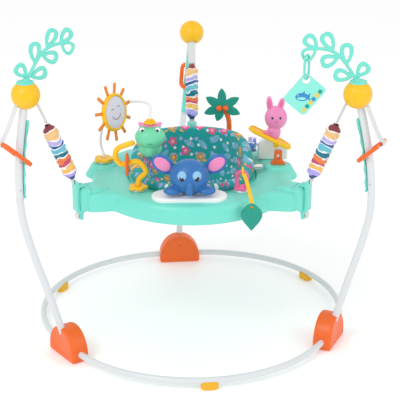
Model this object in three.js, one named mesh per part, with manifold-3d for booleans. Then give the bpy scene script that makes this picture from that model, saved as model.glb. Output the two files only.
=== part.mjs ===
// Free-standing baby activity jumper: a round steel base, three curved uprights with a ball on
// top of each, and a toy tray with a turning fabric seat that hangs from them on three springs.
// Millimetres, +Z up, front towards -Y. The origin is on the floor, below the middle of the
// whole jumper.

import * as THREE from 'three';
import { mergeVertices } from 'three/addons/utils/BufferGeometryUtils.js';
import Module from 'manifold-3d';

const wasm = await Module();
wasm.setup();

const rad = THREE.MathUtils.degToRad;
const vec = (x, y, z) => new THREE.Vector3(x, y, z);

// ---- Driving dimensions ------------------------------------------------------------------------

const GAP = 0.4;                  // air between touching pieces
const LEGS = { rear: 90, left: 210, right: 330 };   // where the three uprights stand, degrees

// base ring: three arcs about the corners of a small triangle, flat at the hubs
const RING_ARC_RADIUS = 351;
const RING_CORNER_OFFSET = 39;
const RING_TUBE_RADIUS = 8;
const RING_HEIGHT = 20;
const BASE_TWIST = 5.8;           // the base is turned this far round from the balls, degrees
const TUBE_END_SPACE = 44;        // between two ring tubes inside a hub

const HUB_WIDTH = 113;
const HUB_HEIGHT = 78;
const HUB_DEPTH = 46;
const HUB_EDGE = 6;
const PAD_LENGTH = 42;
const PAD_WIDTH = 26;
const PAD_TOP = 19;

// ball and upright
const BALL_CIRCLE_RADIUS = 432;   // from the jumper's middle to each ball
const BALL_HEIGHT = 652;
const BALL_RADIUS = 33;
const UPRIGHT_RADIUS = 9;
const UPRIGHT_BULGE = 36;         // how far the upright bows out past the ball
const UPRIGHT_JOINT_DROP = 237;   // from the ball's middle down to the joint of the two tubes
const UPRIGHT_LEAN = 5.5;         // degrees, round the jumper
const SPIGOT_RADIUS = 6;
const SPIGOT_LENGTH = 22;

// rack and height clip
const RACK_TOP_DROP = 58;
const RACK_LENGTH = 178;
const RACK_DEPTH = 6;
const RACK_WIDTH = 14;
const RACK_TEETH = 5;
const CLIP_DROP = 132;
const CLIP_LENGTH = 90;
const CLIP_WIDTH = 44;
const CLIP_BAR = 11;
const CLIP_THICKNESS = 10;
const CLIP_TILT = 43;             // degrees, rising outwards
const CLIP_OFFSET = 35;           // from below the ball out to the ring's middle

// webbing, sleeve and spring
const WEB_WIDTH = 20;
const WEB_THICKNESS = 1.6;
const SLEEVE_RADIUS = 18;
const SLEEVE_WALL = 4;
const SLEEVE_LENGTH = 150;
const SLEEVE_TOP_IN = 49;         // how far inside the ball circle the sleeve's top hangs
const SLEEVE_TOP_DROP = 74;
const SPRING_RADIUS = 9;
const SPRING_WIRE = 1.5;
const SPRING_TURNS = 5;

// tray
const TRAY_TOP = 400;
const TRAY_DEPTH = 46;
const TRAY_RADIUS = 250;
const TRAY_FRONT_BULGE = 17;
const TRAY_ARM_REACH = 313;
const TRAY_ARM_HALF_WIDTH = 31;
const TRAY_ARM_RISE = 11;
const TRAY_ARM_RISE_LENGTH = 58;
const TRAY_WALL = 4;
const TRAY_EDGE = 12;
const WELL_RADIUS = 160;
const WELL_LEDGE = 9;
const WELL_LEDGE_DROP = 20;
const DISH_RADIUS = 196;
const DISH_DROP = 10;
const COLLAR_WALL = 5;

// seat
const SEAT_DEPTH = 120;           // from the tray's top down to the seat's bottom
const SEAT_BACK_RISE = 70;
const SEAT_FRONT_RISE = 12;
const SEAT_WALL = 12;
const RING_WIDTH = 12;
const LEG_HOLE_RADIUS = 37;

// the bowl's section: share of the throat's radius, and height above the floor
const BOWL_OUTSIDE = [[0.396, 0], [0.682, 24], [0.86, 70]];
const BOWL_INSIDE = [[0.805, 72], [0.628, 32], [0.355, 9]];

// uprights: fit in the hub
const LOWER_TUBE_STEPS = 13;
const SOCKET_CLEARANCE = 2;
// the lower tube's bow: share of the way down, and share of the way in to the hub
const UPRIGHT_BOW = [[0.16, 0.045], [0.37, 0.25], [0.59, 0.52], [0.76, 0.72], [0.93, 0.92]];

// roundness: short runs along the webbing, points of the tray outline, sides of its well
const STRAP_STEPS = 16;
const TRAY_POINTS = 56;
const ROUND = 32;                 // sides of the tray's well and of the seat that turns in it

// toy stations on the tray
const CONSOLE = vec(-6, -200, TRAY_TOP);
const CONSOLE_LENGTH = 178;
const CONSOLE_DEPTH = 70;
const SUN_STATION = vec(-222, 40, TRAY_TOP);
const SQUIGGLE_STATION = vec(-128, -152, TRAY_TOP);
const LOOP_STATION = vec(117, -158, TRAY_TOP);
const SURF_STATION = vec(216, 25, TRAY_TOP);
const DRUM_STATION = vec(206, 92, TRAY_TOP);
const PALM_STATION = vec(95, 190, TRAY_TOP);
const PLATFORM_RISE = 7;

// toys
const FROG = vec(-98, -142, 530);
const SUN = vec(-186, -46, 562);
const SUN_FACING = vec(Math.cos(rad(-32)), Math.sin(rad(-32)), 0.12).normalize();
const SUN_THICKNESS = 14;
// Heights of the squiggle above the tray and how far it swings to each side.
const SQUIGGLE = [[0, 3], [0, 14], [3, 28], [19, 46], [6, 67], [-8, 71], [-25, 66], [-41, 66], [-52, 84],
  [-45, 104], [-12, 117]];
const SQUIGGLE_TUBE_RADIUS = 6.5;
const BEAD_AT = vec(SQUIGGLE_STATION.x - 25, SQUIGGLE_STATION.y, TRAY_TOP + 65.2);
const SURF_PIVOT = vec(SURF_STATION.x, SURF_STATION.y, TRAY_TOP + 46);
const BOARD_TILT = -27;
const DRUM_AXIS_RISE = 36;
const DRUM_AT = vec(DRUM_STATION.x - 52, DRUM_STATION.y, TRAY_TOP + DRUM_AXIS_RISE);

// fronds, link and tag
const FROND_THICKNESS = 7;
// stem of the frond that leans in over the tray: inwards and up from the ball's middle
const FROND_STEM = [[3, 28], [14, 47], [24, 62], [35, 77], [46, 89], [62, 99], [80, 104], [112, 106]];
// where each leaf's tip sits on the stem, the way it points in degrees, and its length
const FROND_LEAVES = [[6, 40, 130, 40], [14, 39, 11, 44], [28, 66, 88, 52], [45, 85, -18, 44],
  [58, 99, 60, 48], [94, 104, 46, 42], [96, 104, -32, 38]];
const LEAF_WIDTH = 31;
const LEAF_BAND = 6;
const FROND_YAW = { left: 36, right: 180 };   // the way each frond leans, seen from above
const LINK_LENGTH = 60;
const LINK_WIDTH = 30;
const LINK_BAR = 5;
const LINK_TURN = 62;
const TAG_WIDTH = 64;
const TAG_HEIGHT = 80;
const TAG_CORNER = 9;
const TAG_HOLE = 9;
const TAG_TURN = 40;

// ---- Solid helpers -----------------------------------------------------------------------------

function solid(geometry) {
  const bare = geometry.clone();
  bare.deleteAttribute('normal');
  bare.deleteAttribute('uv');
  const merged = mergeVertices(bare, 1e-4);
  return new wasm.Manifold(new wasm.Mesh({
    numProp: 3,
    vertProperties: new Float32Array(merged.attributes.position.array),
    triVerts: new Uint32Array(merged.index.array),
  }));
}

function geometryOf(body) {
  const mesh = body.getMesh();
  const geometry = new THREE.BufferGeometry();
  geometry.setAttribute('position', new THREE.BufferAttribute(new Float32Array(mesh.vertProperties), 3));
  geometry.setIndex(new THREE.BufferAttribute(new Uint32Array(mesh.triVerts), 1));
  geometry.computeVertexNormals();
  return geometry;
}

function join(...geometries) {
  return geometryOf(geometries.map(solid).reduce((whole, next) => whole.add(next)));
}

function cut(geometry, ...tools) {
  return geometryOf(tools.map(solid).reduce((whole, tool) => whole.subtract(tool), solid(geometry)));
}

function move(geometry, x, y, z) {
  return geometry.translate(x, y, z);
}

// A geometry whose own +Z is pointed along a direction, then moved to a place.
function aim(geometry, direction, place) {
  const turn = new THREE.Quaternion().setFromUnitVectors(vec(0, 0, 1), direction.clone().normalize());
  return geometry.applyQuaternion(turn).translate(place.x, place.y, place.z);
}

function polygon(radius, sides) {
  const points = Array.from({ length: sides }, (_, i) => {
    const angle = (2 * Math.PI * i) / sides;
    return new THREE.Vector2(radius * Math.cos(angle), radius * Math.sin(angle));
  });
  return new THREE.Shape(points);
}

function rectangle(width, height) {
  const shape = new THREE.Shape();
  shape.moveTo(-width / 2, -height / 2);
  shape.lineTo(width / 2, -height / 2);
  shape.lineTo(width / 2, height / 2);
  shape.lineTo(-width / 2, height / 2);
  return shape;
}

// A flat shape with round ends, its long side along X.
function stadium(length, width) {
  const straight = (length - width) / 2;
  const shape = new THREE.Shape();
  shape.absarc(straight, 0, width / 2, -Math.PI / 2, Math.PI / 2, false);
  shape.absarc(-straight, 0, width / 2, Math.PI / 2, 1.5 * Math.PI, false);
  return shape;
}

function plate(shape, thickness, curveSegments = 8, bevel = 0) {
  return new THREE.ExtrudeGeometry(shape, {
    depth: thickness - 2 * bevel,
    bevelEnabled: bevel > 0,
    bevelThickness: bevel,
    bevelSize: bevel,
    bevelOffset: -bevel,
    bevelSegments: 1,
    curveSegments,
  }).translate(0, 0, bevel);
}

function sweep(points, shape, steps) {
  return new THREE.ExtrudeGeometry(shape, {
    steps,
    bevelEnabled: false,
    extrudePath: new THREE.CatmullRomCurve3(points, false, 'centripetal'),
  });
}

function rod(from, to, radius, sides = 12) {
  const along = to.clone().sub(from);
  const cylinder = new THREE.CylinderGeometry(radius, radius, along.length(), sides);
  cylinder.rotateX(Math.PI / 2).translate(0, 0, along.length() / 2);
  return aim(cylinder, along, from);
}

function disc(radius, height, sides = 16, topRadius = radius) {
  return new THREE.CylinderGeometry(topRadius, radius, height, sides)
    .rotateX(Math.PI / 2)
    .translate(0, 0, height / 2);
}

function ellipsoid(rx, ry, rz, across = 14, up = 9) {
  return new THREE.SphereGeometry(1, across, up).rotateX(Math.PI / 2).scale(rx, ry, rz);
}

// A closed skin over rings of points. The first and last ring close on their middle points.
function skin(rings) {
  const count = rings[0].length;
  const points = [middleOf(rings[0]), ...rings.flat(), middleOf(rings[rings.length - 1])];
  const last = points.length - 1;
  const index = [];
  for (let i = 0; i < count; i += 1) {
    const next = (i + 1) % count;
    index.push(0, 1 + next, 1 + i);
    for (let row = 0; row < rings.length - 1; row += 1) {
      const low = 1 + row * count;
      const high = low + count;
      index.push(low + i, low + next, high + next, low + i, high + next, high + i);
    }
    const top = 1 + (rings.length - 1) * count;
    index.push(last, top + i, top + next);
  }
  const geometry = new THREE.BufferGeometry().setFromPoints(points);
  geometry.setIndex(index);
  return geometry;
}

function middleOf(ring) {
  const sum = ring.reduce((total, point) => total.add(point), vec(0, 0, 0));
  return sum.divideScalar(ring.length);
}

// ---- Materials ---------------------------------------------------------------------------------

const finish = (color, roughness, metalness = 0) => ({ color, roughness, metalness });
const WHITE_STEEL = finish('#eef0f2', 0.35, 0.1);
const WHITE_PLASTIC = finish('#f4f4f4', 0.4);
const MINT = finish('#84ead8', 0.35);
const ORANGE = finish('#f5762a', 0.4);
const YELLOW = finish('#fcc21c', 0.35);
const PINK = finish('#f07fae', 0.4);
const LILAC_PINK = finish('#e89ac6', 0.4);
const TEAL = finish('#10a491', 0.4);
const BLUE = finish('#3f7fc4', 0.35);
const GREEN = finish('#74d8b4', 0.4);
const FABRIC = finish('#0e8a82', 0.9);
const WEBBING = finish('#f2f2f0', 0.85);
const STRIPED = finish('#e9d9c8', 0.9);
const STEEL = finish('#b8bcc0', 0.3, 0.9);

const model = new THREE.Group();

function add(group, name, geometry, look) {
  const mesh = new THREE.Mesh(geometry, new THREE.MeshStandardMaterial(look));
  mesh.name = name;
  group.add(mesh);
  return mesh;
}

// ---- Base ring ---------------------------------------------------------------------------------

// Ring centreline point: the angle is measured from a hub's middle, and the flat lies across it.
function ringPoint(angle) {
  const sector = Math.round((angle - 60) / 120);
  const arcMiddle = 60 + 120 * sector;
  const corner = vec(
    RING_CORNER_OFFSET * Math.cos(rad(arcMiddle)),
    RING_CORNER_OFFSET * Math.sin(rad(arcMiddle)),
    RING_HEIGHT,
  );
  const swing = rad(angle);
  return corner.add(vec(RING_ARC_RADIUS * Math.cos(swing), RING_ARC_RADIUS * Math.sin(swing), 0));
}

const HUB_REACH = RING_ARC_RADIUS + RING_CORNER_OFFSET * Math.cos(rad(60));

function ringTube() {
  const start = vec(HUB_REACH, TUBE_END_SPACE / 2, RING_HEIGHT);
  const points = [start];
  for (let angle = 3; angle <= 117; angle += 9.5) {
    points.push(ringPoint(angle));
  }
  const turn = new THREE.Matrix4().makeRotationZ(rad(120));
  points.push(vec(HUB_REACH, -TUBE_END_SPACE / 2, RING_HEIGHT).applyMatrix4(turn));
  return sweep(points, polygon(RING_TUBE_RADIUS, 8), 15);
}

// The bore through a hub follows the flat and the start of the arc on each side.
function ringBore() {
  const reach = [20, 14, 8, 3];
  const oneSide = reach.map((angle) => ringPoint(angle));
  const otherSide = oneSide.map((point) => vec(point.x, -point.y, point.z)).reverse();
  const path = [...oneSide, vec(HUB_REACH, 0, RING_HEIGHT), ...otherSide];
  return sweep(path, polygon(RING_TUBE_RADIUS + 3 * GAP, 8), 7);
}

function hubBody() {
  const shape = new THREE.Shape();
  const foot = 14;
  shape.moveTo(-HUB_WIDTH / 2, 0);
  shape.lineTo(HUB_WIDTH / 2, 0);
  shape.lineTo(HUB_WIDTH / 2, foot);
  shape.absellipse(0, foot, HUB_WIDTH / 2, HUB_HEIGHT - foot, 0, Math.PI, false);
  const dome = plate(shape, HUB_DEPTH, 6, HUB_EDGE);
  // stand the outline up, facing outwards
  dome.rotateX(Math.PI / 2).rotateZ(Math.PI / 2);
  return dome.translate(HUB_REACH - HUB_DEPTH / 2, 0, 0);
}

function footPad() {
  const block = plate(stadium(PAD_LENGTH, PAD_WIDTH), PAD_TOP, 3, 3);
  const groove = rod(vec(-PAD_LENGTH, 0, RING_HEIGHT), vec(PAD_LENGTH, 0, RING_HEIGHT),
    RING_TUBE_RADIUS + 5 * GAP, 8);
  return cut(block, groove);
}

// ---- Uprights, in a frame with +X outwards, +Y round the jumper and the ball's middle at zero ----

const JOINT_LEAN = vec(0, Math.sin(rad(UPRIGHT_LEAN)), -Math.cos(rad(UPRIGHT_LEAN)));

// The upper tube's centreline, in the leaned frame.
function upperPoint(drop) {
  const share = drop / UPRIGHT_JOINT_DROP;
  return vec(UPRIGHT_BULGE * Math.sin((share * Math.PI) / 2), 0, -drop);
}

function upperTube() {
  const drops = [14, 50, 95, 140, 190, UPRIGHT_JOINT_DROP - GAP];
  const tube = sweep(drops.map(upperPoint), polygon(UPRIGHT_RADIUS, 8), 8);
  const socket = rod(upperPoint(UPRIGHT_JOINT_DROP + 2),
    upperPoint(UPRIGHT_JOINT_DROP).add(vec(0, 0, SPIGOT_LENGTH + 2)), SPIGOT_RADIUS + GAP, 8);
  return cut(tube, socket);
}

// The lower tube's centreline, from the joint of the two tubes down into the hub.
function lowerPath() {
  const top = lowerTop();
  const hubSide = HUB_REACH * Math.tan(rad(BASE_TWIST));
  const foot = vec(HUB_REACH + 5, hubSide, RING_HEIGHT + RING_TUBE_RADIUS + 9);
  const points = UPRIGHT_BOW.map(([down, inwards]) => vec(
    THREE.MathUtils.lerp(top.x, foot.x, inwards),
    THREE.MathUtils.lerp(top.y, foot.y, Math.sqrt(down)),
    THREE.MathUtils.lerp(top.z, foot.z, down),
  ));
  const start = top.clone().addScaledVector(JOINT_LEAN, 12);
  return [top, start, ...points, foot];
}

function lowerTop() {
  return vec(BALL_CIRCLE_RADIUS + UPRIGHT_BULGE, 0, BALL_HEIGHT)
    .addScaledVector(JOINT_LEAN, UPRIGHT_JOINT_DROP);
}

function lowerTube() {
  const top = lowerTop();
  const tube = sweep(lowerPath(), polygon(UPRIGHT_RADIUS, 8), LOWER_TUBE_STEPS);
  const spigotTop = top.clone().addScaledVector(JOINT_LEAN, -SPIGOT_LENGTH);
  const spigotFoot = top.clone().addScaledVector(JOINT_LEAN, 4);
  return join(tube, rod(spigotFoot, spigotTop, SPIGOT_RADIUS, 8));
}

// The blind socket in a hub that takes the upright, in the hub's own turned frame. It follows the
// end of the lower tube's centreline.
function uprightSocket() {
  const line = new THREE.CatmullRomCurve3(lowerPath(), false, 'centripetal');
  const path = [3, 2, 1, 0].map((step) => line.getPointAt(1 - step / LOWER_TUBE_STEPS));
  const foot = path[path.length - 1];
  const below = foot.clone().sub(path[path.length - 2]).setLength(SOCKET_CLEARANCE);
  path.push(foot.clone().add(below));
  const bore = sweep(path, polygon(UPRIGHT_RADIUS + SOCKET_CLEARANCE, 8), 9);
  return bore.rotateZ(-rad(BASE_TWIST));
}

// A toothed strip on the inner side of the upper tube, with a hook tab at its top.
function rack() {
  const shape = new THREE.Shape();
  const back = (drop) => upperPoint(drop).x - UPRIGHT_RADIUS - GAP;
  const end = RACK_TOP_DROP + RACK_LENGTH;
  const pitch = RACK_LENGTH / (RACK_TEETH * 2 + 1);
  shape.moveTo(back(RACK_TOP_DROP), -RACK_TOP_DROP);
  for (let i = 1; i <= 6; i += 1) {
    const drop = RACK_TOP_DROP + (RACK_LENGTH * i) / 6;
    shape.lineTo(back(drop), -drop);
  }
  shape.lineTo(back(end) - RACK_DEPTH, -end);
  for (let i = RACK_TEETH * 2; i >= 1; i -= 1) {
    const drop = RACK_TOP_DROP + pitch * (i + 0.5);
    const depth = i % 2 ? RACK_DEPTH : RACK_DEPTH / 2;
    shape.lineTo(back(drop) - depth, -drop);
  }
  shape.lineTo(back(RACK_TOP_DROP) - RACK_DEPTH, -RACK_TOP_DROP);
  const strip = plate(shape, RACK_WIDTH, 1);
  return strip.rotateX(Math.PI / 2).translate(0, RACK_WIDTH / 2, 0);
}

function heightClip() {
  const ring = stadium(CLIP_LENGTH, CLIP_WIDTH);
  ring.holes.push(stadium(CLIP_LENGTH - 2 * CLIP_BAR, CLIP_WIDTH - 2 * CLIP_BAR));
  const body = plate(ring, CLIP_THICKNESS, 3, 2);
  return body.translate(0, 0, -CLIP_THICKNESS / 2).rotateY(-rad(CLIP_TILT));
}

// Webbing route: up from the clip, over the saddle in the ball, down to the spring sleeve.
function strapRoute() {
  const clipEnd = vec(CLIP_OFFSET + 19, 0, -CLIP_DROP + 32);
  const sleeveEnd = vec(-SLEEVE_TOP_IN, 0, -SLEEVE_TOP_DROP);
  return [clipEnd, vec(40, 0, -62), vec(24, 0, -24), vec(22, 0, -6), vec(12, 0, 12), vec(-6, 0, 17),
    vec(-22, 0, 12), vec(-32, 0, -4), vec(-38, 0, -26), sleeveEnd];
}

function strap() {
  return sweep(strapRoute(), rectangle(WEB_WIDTH, WEB_THICKNESS), STRAP_STEPS);
}

function ballShell() {
  const ball = ellipsoid(BALL_RADIUS, BALL_RADIUS, BALL_RADIUS, 12, 7);
  const channel = sweep(strapRoute(), rectangle(WEB_WIDTH + 4, WEB_THICKNESS + 3), STRAP_STEPS);
  const lean = new THREE.Matrix4().makeRotationX(rad(UPRIGHT_LEAN));
  const bore = rod(upperPoint(BALL_RADIUS + 8), upperPoint(11), UPRIGHT_RADIUS + 1.2, 8).applyMatrix4(lean);
  return cut(ball, channel, bore);
}

// ---- Spring sleeve, spring and tray hook, in the same frame as the ball ----------------------------

const SLEEVE_TOP = vec(-SLEEVE_TOP_IN, 0, -SLEEVE_TOP_DROP - 4);
const HOOK_REACH = TRAY_ARM_REACH + GAP;
const HOOK_EYE = vec(HOOK_REACH + 8 - BALL_CIRCLE_RADIUS, 0, TRAY_TOP + TRAY_ARM_RISE + 16 - BALL_HEIGHT);
const SLEEVE_LINE = HOOK_EYE.clone().sub(SLEEVE_TOP).normalize();
const SLEEVE_END = SLEEVE_TOP.clone().addScaledVector(SLEEVE_LINE, SLEEVE_LENGTH);

function springSleeve() {
  const above = SLEEVE_TOP.clone().addScaledVector(SLEEVE_LINE, -2);
  const below = SLEEVE_END.clone().addScaledVector(SLEEVE_LINE, 2);
  const bore = rod(above, below, SLEEVE_RADIUS - SLEEVE_WALL, 8);
  return cut(rod(SLEEVE_TOP, SLEEVE_END, SLEEVE_RADIUS, 10), bore);
}

function spring() {
  const around = 6;
  const steps = SPRING_TURNS * around;
  const length = SLEEVE_LENGTH - 16;
  const points = Array.from({ length: steps + 1 }, (_, i) => {
    const angle = (i / around) * 2 * Math.PI;
    return vec(SPRING_RADIUS * Math.cos(angle), SPRING_RADIUS * Math.sin(angle), 8 + (length * i) / steps);
  });
  const coil = sweep(points, polygon(SPRING_WIRE, 3), steps);
  return aim(coil, SLEEVE_LINE, SLEEVE_TOP);
}

// A ribbed clip round the tray arm's end: a lip over the arm, a plate down its end, a lip under
// it, a tongue below, and an eye on top for the webbing.
function trayHook() {
  const arm = TRAY_TOP + TRAY_ARM_RISE;
  const under = TRAY_TOP - TRAY_DEPTH;
  const lip = 16;
  const plateDepth = 8;
  const shape = new THREE.Shape();
  shape.moveTo(HOOK_REACH - lip, under - GAP);
  shape.lineTo(HOOK_REACH - lip, under - GAP - 5);
  shape.lineTo(HOOK_REACH - 9, under - GAP - 5);
  shape.lineTo(HOOK_REACH - 7, under - 24);
  shape.lineTo(HOOK_REACH - 1, under - 24);
  shape.lineTo(HOOK_REACH + 1, under - GAP - 5);
  shape.lineTo(HOOK_REACH + plateDepth, under - GAP - 2);
  shape.lineTo(HOOK_REACH + plateDepth, arm + 2);
  shape.lineTo(HOOK_REACH + plateDepth + 3, arm + 18);
  shape.lineTo(HOOK_REACH + plateDepth - 3, arm + 18);
  shape.lineTo(HOOK_REACH, arm + 6);
  shape.lineTo(HOOK_REACH - lip, arm + 5);
  shape.lineTo(HOOK_REACH - lip, arm + GAP);
  shape.lineTo(HOOK_REACH, arm + GAP);
  shape.lineTo(HOOK_REACH, under - GAP);
  const width = 26;
  const body = plate(shape, width, 1).rotateX(Math.PI / 2).translate(0, width / 2, 0);
  const slot = rectangle(WEB_WIDTH - 4, 4);
  const slotCutter = plate(slot, 40, 1).rotateX(Math.PI / 2).rotateZ(Math.PI / 2)
    .translate(HOOK_REACH - 20, 0, arm + 12);
  return cut(body, slotCutter);
}

// ---- Tray --------------------------------------------------------------------------------------

// The tray's outline: a round body, a bulge at the front and an arm towards each upright.
function trayReach(angle) {
  const front = Math.max(0, Math.cos(angle + Math.PI / 2));
  const body = TRAY_RADIUS + TRAY_FRONT_BULGE * front ** 4;
  const armFlat = Math.atan(TRAY_ARM_HALF_WIDTH / TRAY_ARM_REACH);
  const armFoot = armFlat * 2.9;
  const arms = Object.values(LEGS).map((leg) => {
    const away = Math.abs(Math.atan2(Math.sin(angle - rad(leg)), Math.cos(angle - rad(leg))));
    if (away <= armFlat) {
      return TRAY_ARM_REACH / Math.cos(away) - body;
    }
    if (away >= armFoot) {
      return 0;
    }
    const fall = (away - armFlat) / (armFoot - armFlat);
    return (TRAY_ARM_REACH / Math.cos(armFlat) - body) * 0.5 * (1 + Math.cos(Math.PI * fall));
  });
  return body + Math.max(...arms);
}

function trayRing(z, inset) {
  return Array.from({ length: TRAY_POINTS }, (_, i) => {
    const angle = (2 * Math.PI * i) / TRAY_POINTS;
    const reach = trayReach(angle) - inset;
    return vec(reach * Math.cos(angle), reach * Math.sin(angle), z);
  });
}

function armRise(leg) {
  const length = TRAY_ARM_RISE_LENGTH;
  const rise = plate(stadium(length, 2 * TRAY_ARM_HALF_WIDTH - 8), TRAY_ARM_RISE + 6, 3, 5);
  return rise.translate(TRAY_ARM_REACH - length / 2 - 2, 0, TRAY_TOP - 6).rotateZ(rad(leg));
}

// The cone that sinks the tray's top towards the seat, lowered for the ceiling under it.
function dish(lowered) {
  const slope = (DISH_RADIUS - WELL_RADIUS) / DISH_DROP;
  const over = 3;
  const cone = disc(WELL_RADIUS, DISH_DROP + over, ROUND, DISH_RADIUS + slope * over);
  return move(cone, 0, 0, TRAY_TOP - DISH_DROP - lowered);
}

function tray() {
  const under = TRAY_TOP - TRAY_DEPTH;
  const outside = skin([
    trayRing(under, 1), trayRing(TRAY_TOP - TRAY_EDGE, 0), trayRing(TRAY_TOP - 3, 3.5),
    trayRing(TRAY_TOP, TRAY_EDGE - 2),
  ]);
  const inside = cut(
    skin([
      trayRing(under - 2, TRAY_WALL + 1), trayRing(TRAY_TOP - TRAY_EDGE, TRAY_WALL),
      trayRing(TRAY_TOP - TRAY_WALL, TRAY_EDGE + 2),
    ]),
    move(disc(WELL_RADIUS + COLLAR_WALL, TRAY_DEPTH + 4, ROUND), 0, 0, under - 3),
    dish(TRAY_WALL + 1),
  );
  const ledgeTop = TRAY_TOP - WELL_LEDGE_DROP;
  const through = move(disc(WELL_RADIUS - WELL_LEDGE, TRAY_DEPTH + 8, ROUND), 0, 0, under - 4);
  const seatWell = move(disc(WELL_RADIUS, WELL_LEDGE_DROP + 6, ROUND), 0, 0, ledgeTop);
  const shell = cut(outside, inside, dish(0));
  const rises = Object.values(LEGS).map(armRise);
  return cut(join(shell, ...rises, consoleSeat(), ...platforms()), through, seatWell);
}

// ---- Toy stations --------------------------------------------------------------------------------

function consoleSeat() {
  return move(plate(stadium(CONSOLE_LENGTH - 12, CONSOLE_DEPTH - 14), DISH_DROP + 5, 4),
    CONSOLE.x, CONSOLE.y - 4, TRAY_TOP - DISH_DROP - 5);
}

function platform(station, radius) {
  return move(disc(radius, PLATFORM_RISE + 6, 12, radius - 6), station.x, station.y, TRAY_TOP - 6);
}

function platforms() {
  return [platform(SUN_STATION, 34), platform(SURF_STATION, 36)];
}

function flower(radius, petals, height) {
  const shape = new THREE.Shape();
  const steps = petals * 3;
  for (let i = 0; i < steps; i += 1) {
    const angle = (2 * Math.PI * i) / steps;
    const reach = radius * (1 + 0.12 * Math.cos(petals * angle));
    shape[i ? 'lineTo' : 'moveTo'](reach * Math.cos(angle), reach * Math.sin(angle));
  }
  return plate(shape, height, 1, 2);
}

// Every flower base: a round collar on the tray and a petalled top with a hole for its post.
function flowerBase(radius, postRadius) {
  const body = join(disc(radius * 0.8, 5, 12), move(flower(radius, 5, 8), 0, 0, 4));
  return cut(body, move(disc(postRadius + 3 * GAP, 30, 8), 0, 0, 3));
}

function buildConsole(group) {
  const base = plate(stadium(CONSOLE_LENGTH, CONSOLE_DEPTH), 8, 6, 2);
  add(group, 'console_base', move(base, CONSOLE.x, CONSOLE.y, CONSOLE.z + GAP), WHITE_PLASTIC);
  const headHeight = 42;
  const head = ellipsoid(46, 38, headHeight, 12, 7);
  const ears = [-1, 1].map((side) => {
    const ear = ellipsoid(30, 4.5, 22, 8, 5).rotateY(-side * rad(38));
    return ear.translate(side * 62, 14, 26);
  });
  const trunk = sweep([vec(0, -30, 2), vec(0, -43, -8), vec(0, -46, -20), vec(0, -40, -28)],
    polygon(8, 6), 4);
  const feet = [-1, 1].map((side) => ellipsoid(21, 16, 10, 8, 5).translate(side * 40, -20, -28));
  const elephant = join(head, ...ears, trunk, ...feet);
  const flat = move(disc(120, 30, 12), 0, 0, -headHeight - 26);
  add(group, 'elephant_button',
    move(cut(elephant, flat), CONSOLE.x, CONSOLE.y + 2, CONSOLE.z + 8 + 4 + headHeight - 4), BLUE);
}

function buildSunArch(group) {
  const foot = vec(SUN_STATION.x, SUN_STATION.y, SUN_STATION.z + PLATFORM_RISE);
  add(group, 'arch_base', move(flowerBase(24, 5), foot.x, foot.y, foot.z + GAP), YELLOW);
  const top = vec(FROG.x, FROG.y, FROG.z + 31);
  const behindSun = SUN.clone().addScaledVector(SUN_FACING, -24);
  const arch = sweep([
    foot.clone().add(vec(0, 0, 3 + 2 * GAP)), foot.clone().add(vec(0, 0, 18)),
    foot.clone().add(vec(-7, -6, 62)), behindSun,
    SUN.clone().add(vec(6, 66, 4)), SUN.clone().add(vec(32, 76, 6)), SUN.clone().add(vec(62, 66, 8)),
    SUN.clone().add(vec(84, 0, 18)), top.clone().add(vec(-1, 30, 12)), top.clone().add(vec(0, 0, 12)), top,
  ], polygon(3.5, 6), 24);
  const axle = rod(behindSun, SUN.clone().addScaledVector(SUN_FACING, -6), 3, 6);
  add(group, 'toy_arch', join(arch, axle), WHITE_PLASTIC);
}

function buildSun(group) {
  const petals = 11;
  const rim = disc(46, SUN_THICKNESS, 20);
  const rays = Array.from({ length: petals }, (_, i) => {
    const ray = plate(rectangle(30, 8), 4, 1);
    return ray.translate(56, 0, 2.5).rotateZ((2 * Math.PI * i) / petals);
  });
  const recess = move(disc(37, 4, 20), 0, 0, SUN_THICKNESS - 2);
  const socket = move(disc(3 + GAP, 5, 8), 0, 0, -1);
  const sun = cut(join(rim, ...rays), recess, socket);
  add(group, 'sun_spinner', aim(sun, SUN_FACING, SUN.clone().addScaledVector(SUN_FACING, -9)), YELLOW);
}

function buildFrog(group) {
  const head = ellipsoid(36, 30, 26, 10, 7);
  const hat = join(move(flower(19, 5, 13), 0, 0, 20), ellipsoid(26, 9, 9, 6, 5).translate(0, 0, 27));
  const body = ellipsoid(19, 16, 25, 8, 5).translate(0, 0, -28);
  const limbs = [-1, 1].map((side) => (
    ellipsoid(8, 8, 15, 6, 5).rotateY(side * 0.5).translate(side * 18, 0, -34)));
  const socket = move(disc(3.5 + 5 * GAP, 20, 8), 0, 0, 30);
  const frog = cut(join(head, hat, body, ...limbs), socket, move(disc(60, 20, 8), 0, 0, -71));
  add(group, 'frog_toy', move(frog, FROG.x, FROG.y, FROG.z), GREEN);
}

function buildSquiggle(group) {
  const foot = SQUIGGLE_STATION;
  add(group, 'squiggle_base',
    move(flowerBase(21, SQUIGGLE_TUBE_RADIUS), foot.x, foot.y, foot.z + GAP), YELLOW);
  const route = SQUIGGLE.map(([side, rise]) => vec(foot.x + side, foot.y, foot.z + 1 + rise));
  add(group, 'squiggle_tube', sweep(route, polygon(SQUIGGLE_TUBE_RADIUS, 7), 22), YELLOW);
  const bead = new THREE.Shape();
  bead.absarc(0, 0, 28, 0, 2 * Math.PI, false);
  const hole = new THREE.Path();
  hole.absarc(0, 0, SQUIGGLE_TUBE_RADIUS + 3.5, 0, 2 * Math.PI, true);
  bead.holes.push(hole);
  const disk = plate(bead, 8, 6, 2).translate(0, 0, -4);
  add(group, 'disc_bead', aim(disk, vec(1, 0, 0), BEAD_AT), ORANGE);
}

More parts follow.
